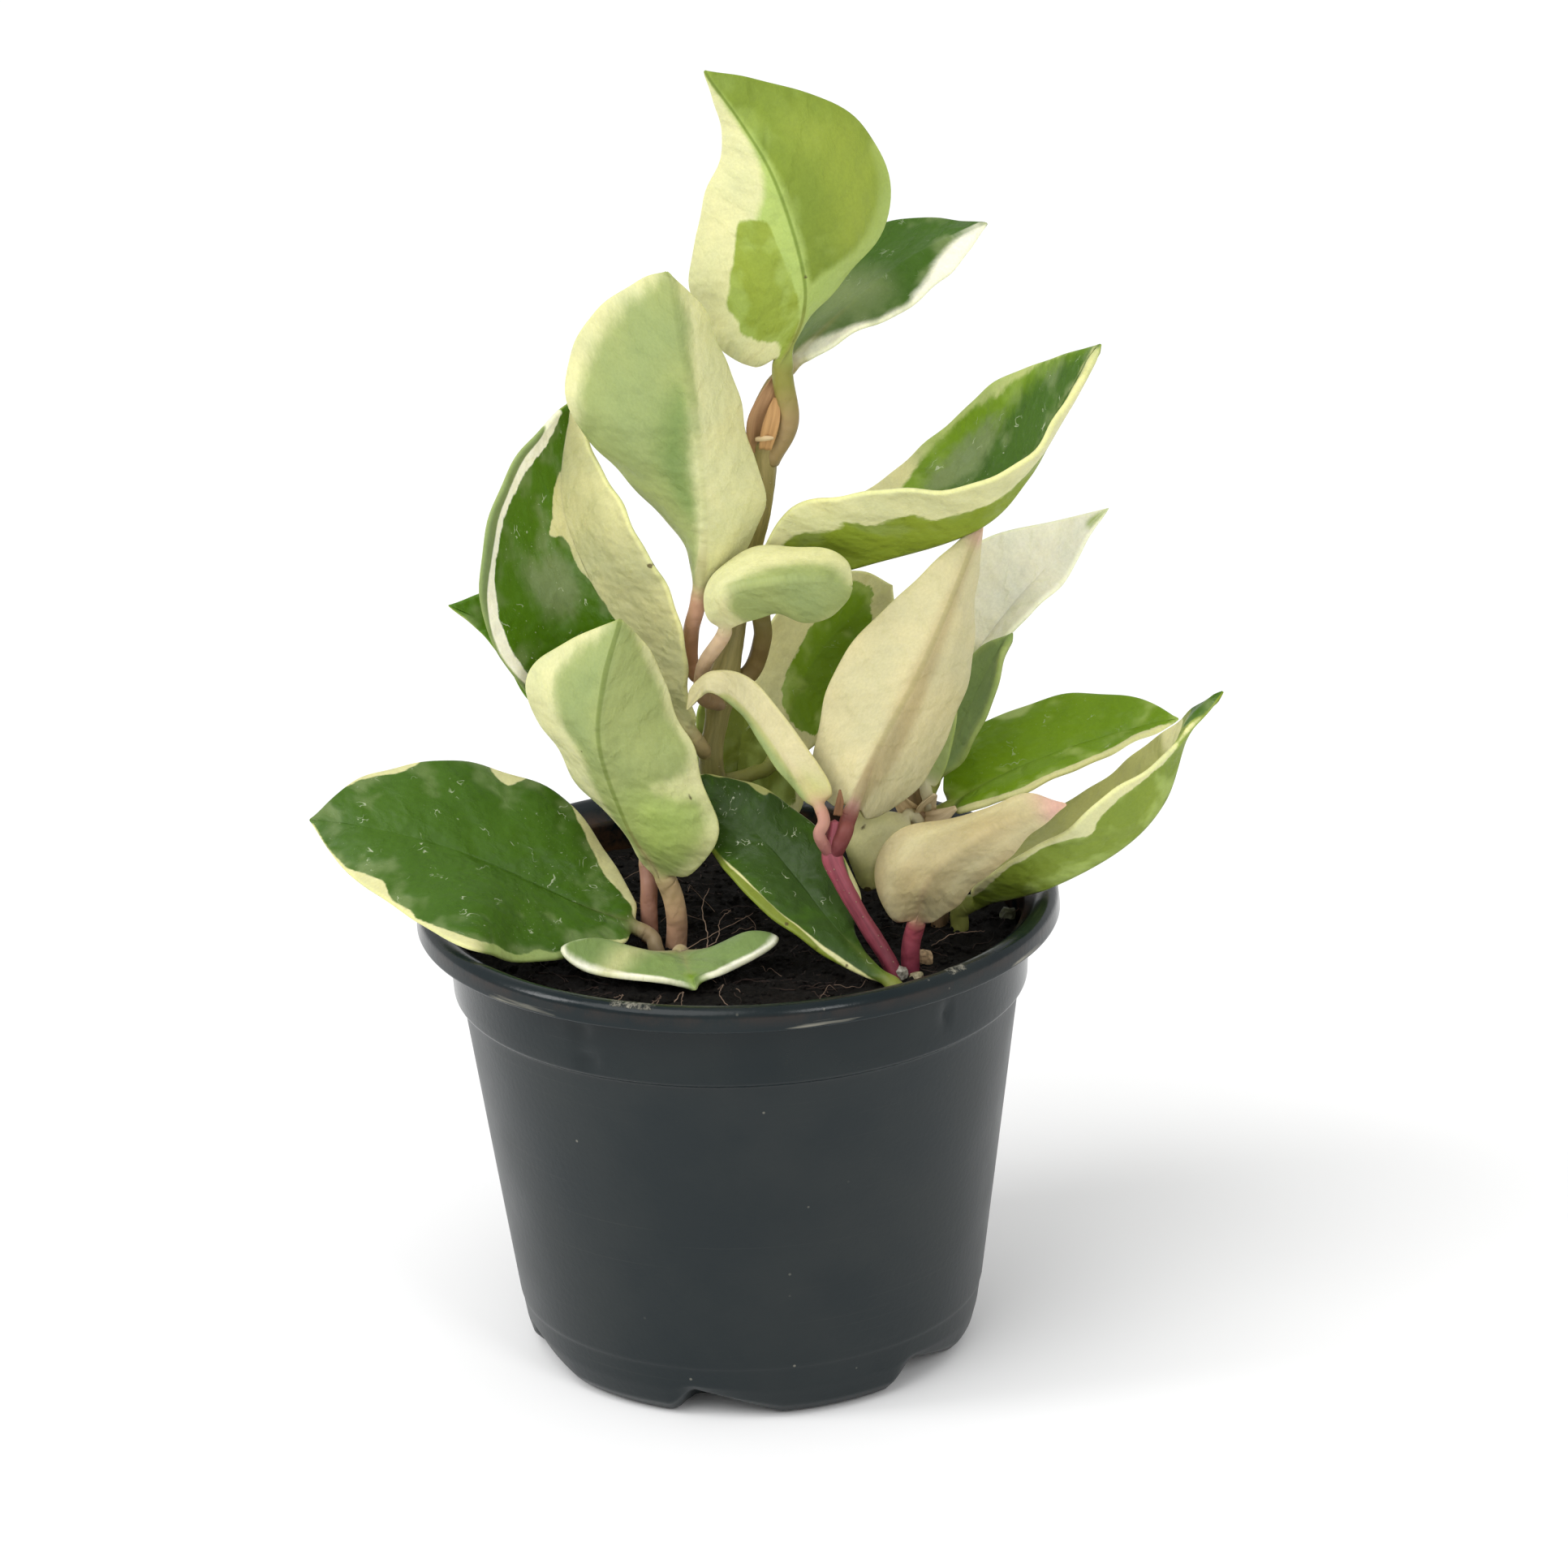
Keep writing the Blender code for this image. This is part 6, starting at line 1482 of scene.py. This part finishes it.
def quartz_grit(name, tone):
    """Weathered quartz grit, broken and river worn.

    Each stone is a slightly different grey, with a dusty, lightly sparkling skin.
    """
    material, tree = new_material(name)
    # Mineral grains about 0.4 mm wide, in metres.
    spot = add(tree, "TexCoord").outputs["Object"]
    grain = add(tree, "TexNoise", {"Vector": spot, "Scale": 1500.0, "Detail": 4.0})
    colour = mottled(tree, linear(tone), grain, 1.0, (0.35, (0.5, 0.48, 0.45)), (0.65, (1.25, 1.25, 1.25)))
    finish(tree, colour, 0.6, grain, 0.6, 0.2, {"IOR": 1.54})
    return material


def strands_mesh(strands, sides=5):
    """Points and faces of thin tubes, each given by its points and its radii."""
    points, faces = [], []
    angles = np.linspace(0, TURN, sides, endpoint=False)
    for path, radii in strands:
        across, up = frames_along(path, (0.3, 0.8, 0.5))
        start = len(points)
        for i in range(len(path)):
            points += [tuple(p) for p in path[i] + radii[i] * circle(angles, across[i], up[i])]
        points += [tuple(path[0]), tuple(path[-1])]
        faces += ring_faces(len(path), sides, start)
    return points, faces


def wander(chance, start, heading, length, steps, lift):
    """A crooked path over the peat, with ups and downs of about lift."""
    path = [np.array(start, float)]
    step = length / steps
    for _ in range(steps):
        heading += chance.uniform(-0.5, 0.5)
        rise = chance.uniform(-1, 1) * lift / steps * 2
        path.append(path[-1] + (step * math.cos(heading), step * math.sin(heading), rise))
    return path


def inside_wall(path, reach):
    """The points of a path that lie inside a radius."""
    return [p for p in path if math.hypot(p[0], p[1]) < reach]


def make_fibres(settings):
    """Short coconut fibres all over the peat, as one piece."""
    chance = random.Random(23)
    strands = []
    for _ in range(settings.fibres):
        x, y = random_spot(chance, SOIL_RADIUS - 3.0)
        start = (x, y, peat_level(x, y, settings.relief) + 0.25)
        length = chance.uniform(2.5, 8.0)
        path = inside_wall(wander(chance, start, chance.uniform(0, HEADINGS), length, 9, 1.2), SOIL_RADIUS)
        if len(path) < FEWEST_POINTS:
            continue
        fine = smooth_curve(path, np.linspace(0, 1, 14))
        for p in fine:
            p[2] = max(p[2], peat_level(p[0], p[1], settings.relief) - 0.1)
        strands.append((fine, np.linspace(chance.uniform(0.06, 0.12), 0.04, len(fine))))
    points, faces = strands_mesh(strands)
    add_piece("coconut_fibres", points, faces, [dry_fibre("coconut_fibre", settings.fibre)])


# Root hairs that show in front: points over the peat.
ROOT_HAIRS = [
    [(-14.5, -13, 70.2), (-8, -11, 72.4), (-1, -7, 74.5), (2.5, -5, 75.5)],
    [(-5.5, -10, 70.0), (-5, -8, 73.0), (-5.8, -6, 77.0), (-4.5, -5, 80.0)],
    [(-3.5, -24, 70.0), (-2.6, -26, 71.5), (-3.2, -29, 71.4), (-2.0, -32, 70.5)],
    [(-10.5, -29, 70.0), (-9.0, -29, 71.8), (-9.2, -33, 71.2), (-8.6, -35, 70.2)],
    [(-13.5, -30, 70.0), (-12.5, -31, 72.0), (-14.5, -34, 71.4)],
    [(-20, -26, 70.0), (-18.5, -29, 71.6), (-20.5, -33, 71.0)],
    [(44, 2, 70.0), (47, 8, 71.5), (45, 12, 72.0), (42, 14, 71.0)],
    [(-22, 4, 70.4), (-19, 6, 72.0), (-16.5, 7.5, 72.2), (-14.5, 9, 71.0)],
    [(-21, 2, 70.4), (-18.5, 3, 71.6), (-17, 5, 73.0), (-14, 6, 72.4)],
    [(-6.5, -7, 70.0), (-3.5, -6, 71.5), (-3.0, -4, 74.0), (-1.2, -4, 75.8)],
    [(31, -9, 70.2), (34, -8, 71.6), (37.5, -6, 71.4), (40, -4, 70.6)],
]


def make_roots(settings):
    """Fine pale root hairs that arch over the peat, as one piece."""
    chance = random.Random(5)
    strands = []
    for points in ROOT_HAIRS:
        path = smooth_curve(points, np.linspace(0, 1, 26))
        path += [[chance.uniform(-0.12, 0.12) for _ in range(3)] for _ in path]
        strands.append((path, np.linspace(0.09, 0.05, len(path))))
    for _ in range(FINE_ROOTS):
        x, y = random_spot(chance, SOIL_RADIUS - 6.0)
        start = (x, y, soil_level(x, y) + 0.2)
        path = wander(chance, start, chance.uniform(0, HEADINGS), chance.uniform(4, 10), 8, 4.0)
        path = inside_wall(path, SOIL_RADIUS - 1)
        if len(path) >= FEWEST_POINTS:
            fine = smooth_curve(path, np.linspace(0, 1, 18))
            strands.append((fine, np.full(len(fine), 0.045)))
    points, faces = strands_mesh(strands)
    add_piece("root_hairs", points, faces, [dry_fibre("root_hair", settings.root)])


def dry_fibre(name, tone):
    """Dry plant fibre, stripped and tangled.

    It is matt and uneven in colour.
    """
    material, tree = new_material(name)
    # Colour changes about each 2 mm along a fibre, in metres.
    spot = add(tree, "TexCoord").outputs["Object"]
    patchy = add(tree, "TexNoise", {"Vector": spot, "Scale": 420.0, "Detail": 2.0})
    colour = mottled(tree, tone, patchy, 1.0, (0.3, (0.35, 0.3, 0.28)), (0.7, (1.2, 1.15, 1.1)))
    shader = add(tree, "BsdfPrincipled", {"Base Color": colour, "Roughness": 0.8, "IOR": 1.45})
    add(tree, "OutputMaterial", {"Surface": shader})
    return material


def make_floor(settings):
    """White paper floor under the pot."""
    corners = [(-1, -1), (1, -1), (1, 1), (-1, 1)]
    mesh = bpy.data.meshes.new("paper_floor")
    mesh.from_pydata([(MM * FLOOR_HALF * x, MM * FLOOR_HALF * y, 0) for x, y in corners], [], [(0, 1, 2, 3)])
    material, tree = new_material("white_paper")
    # Paper tooth drawn at 1 mm.
    spot = add(tree, "TexCoord").outputs["Object"]
    tooth = add(tree, "TexNoise", {"Vector": spot, "Scale": 900.0, "Detail": 2.0})
    finish(tree, settings.floor, 0.9, tooth, 0.05, 0.1, {"Specular IOR Level": 0.1})
    mesh.materials.append(material)
    floor = bpy.data.objects.new("paper_floor", mesh)
    bpy.context.scene.collection.objects.link(floor)


def place_lamp(light, place, aim):
    """Put a light in the scene so that it points from one place to another."""
    lamp = bpy.data.objects.new(light.name, light)
    lamp.location = Vector(place) * MM
    direction = (Vector(aim) - Vector(place)) * MM
    lamp.rotation_euler = direction.to_track_quat("-Z", "Y").to_euler()
    bpy.context.scene.collection.objects.link(lamp)


def make_softbox(name, place, width, height, power):
    """A soft upright light that faces the plant."""
    light = bpy.data.lights.new(name, "AREA")
    light.shape = "RECTANGLE"
    light.size = width * MM
    light.size_y = height * MM
    light.energy = power
    place_lamp(light, place, (0, 0, 90))


def make_lights(settings):
    """Even white room light, a broad light from the upper left, and a softbox on each side."""
    world = bpy.data.worlds.new("white_room")
    world.use_nodes = True
    world.node_tree.nodes["Background"].inputs["Color"].default_value = (1.0, 1.0, 1.0, 1.0)
    world.node_tree.nodes["Background"].inputs["Strength"].default_value = settings.sky
    bpy.context.scene.world = world
    bpy.context.scene.view_settings.view_transform = "Standard"
    window = bpy.data.lights.new("overhead_light", "SUN")
    window.energy = settings.window
    window.angle = math.radians(45)
    place_lamp(window, (-500, -600, 1000), (0, 0, 0))
    make_softbox("left_softbox", (-1000, -210, 700), 300, 500, settings.key)
    make_softbox("right_softbox", (520, -900, 700), 300, 500, settings.fill)


def make_camera():
    """The camera at the photograph's viewing angle."""
    target = Vector(CAMERA_TARGET)
    raised = math.radians(CAMERA_ELEVATION)
    offset = Vector((0, -math.cos(raised), math.sin(raised))) * CAMERA_DISTANCE
    data = bpy.data.cameras.new("view_camera")
    data.sensor_width = SENSOR_WIDTH
    data.lens = FOCAL_PIXELS / IMAGE_SIZE * SENSOR_WIDTH
    data.clip_start = 0.01
    data.clip_end = 20.0
    camera = bpy.data.objects.new("view_camera", data)
    look = (-offset).to_track_quat("-Z", "Y").to_matrix().to_4x4()
    roll = Matrix.Rotation(math.radians(CAMERA_ROLL), 4, "Z")
    camera.matrix_world = Matrix.Translation((target + offset) * MM) @ look @ roll
    bpy.context.scene.collection.objects.link(camera)
    bpy.context.scene.camera = camera


class HOYA_OT_pot(Operator):
    """Turn the nursery pot with its lip, collar, notches and drainage holes"""

    bl_idname = "hoya.pot"
    bl_label = "Nursery pot"

    def execute(self, context):
        make_pot(context.scene.hoya_pot)
        return {"FINISHED"}


class HOYA_OT_soil(Operator):
    """Fill the pot with peat, crumbs, fibres, root hairs and grit"""

    bl_idname = "hoya.soil"
    bl_label = "Peat"

    def execute(self, context):
        settings = context.scene.hoya_soil
        make_soil(settings)
        make_crumbs(settings)
        make_fibres(settings)
        make_roots(settings)
        make_stones()
        return {"FINISHED"}


class HOYA_OT_vines(Operator):
    """Grow the vines with their nodes, bud scales and bracts"""

    bl_idname = "hoya.vines"
    bl_label = "Vines"

    def execute(self, context):
        for seed, (name, vine) in enumerate(VINES.items()):
            make_vine(name, vine, seed)
        make_scales(NODE_SCALES)
        return {"FINISHED"}


class HOYA_OT_leaves(Operator):
    """Grow every leaf with its stalk, waves and variegation"""

    bl_idname = "hoya.leaves"
    bl_label = "Leaves"

    def execute(self, context):
        for seed, (name, leaf) in enumerate(LEAVES.items()):
            make_leaf(name, leaf, LOOKS[name], context.scene.hoya_leaves, seed)
        return {"FINISHED"}


class HOYA_OT_stage(Operator):
    """Set up the floor, the lights and the camera"""

    bl_idname = "hoya.stage"
    bl_label = "Stage"

    def execute(self, context):
        make_floor(context.scene.hoya_stage)
        make_lights(context.scene.hoya_stage)
        make_camera()
        return {"FINISHED"}


class HOYA_PT_tools(Panel):
    """Buttons and settings of the potted hoya"""

    bl_label = "Potted hoya"
    bl_space_type = "VIEW_3D"
    bl_region_type = "UI"
    bl_category = "Hoya"

    def draw(self, context):
        for operator, group in GROUPS:
            box = self.layout.box()
            box.operator(operator.bl_idname)
            settings = getattr(context.scene, group, None)
            for key in settings.__annotations__ if settings else ():
                box.prop(settings, key)


GROUPS = [
    (HOYA_OT_pot, "hoya_pot"),
    (HOYA_OT_soil, "hoya_soil"),
    (HOYA_OT_vines, ""),
    (HOYA_OT_leaves, "hoya_leaves"),
    (HOYA_OT_stage, "hoya_stage"),
]
SETTINGS = {"hoya_pot": PotSettings, "hoya_soil": SoilSettings, "hoya_leaves": LeafSettings,
            "hoya_stage": StageSettings}


def register():
    """Register the settings, the operators and the panel."""
    for group in SETTINGS.values():
        bpy.utils.register_class(group)
    for name, group in SETTINGS.items():
        setattr(bpy.types.Scene, name, PointerProperty(type=group))
    for operator, _ in GROUPS:
        bpy.utils.register_class(operator)
    bpy.utils.register_class(HOYA_PT_tools)


def unregister():
    """Remove them again, in the opposite order."""
    bpy.utils.unregister_class(HOYA_PT_tools)
    for operator, _ in reversed(GROUPS):
        bpy.utils.unregister_class(operator)
    for name, group in SETTINGS.items():
        delattr(bpy.types.Scene, name)
        bpy.utils.unregister_class(group)


def main():
    """Make every piece and the stage."""
    register()
    bpy.ops.hoya.stage()
    bpy.ops.hoya.pot()
    bpy.ops.hoya.soil()
    bpy.ops.hoya.vines()
    bpy.ops.hoya.leaves()


if __name__ == "__main__":
    main()
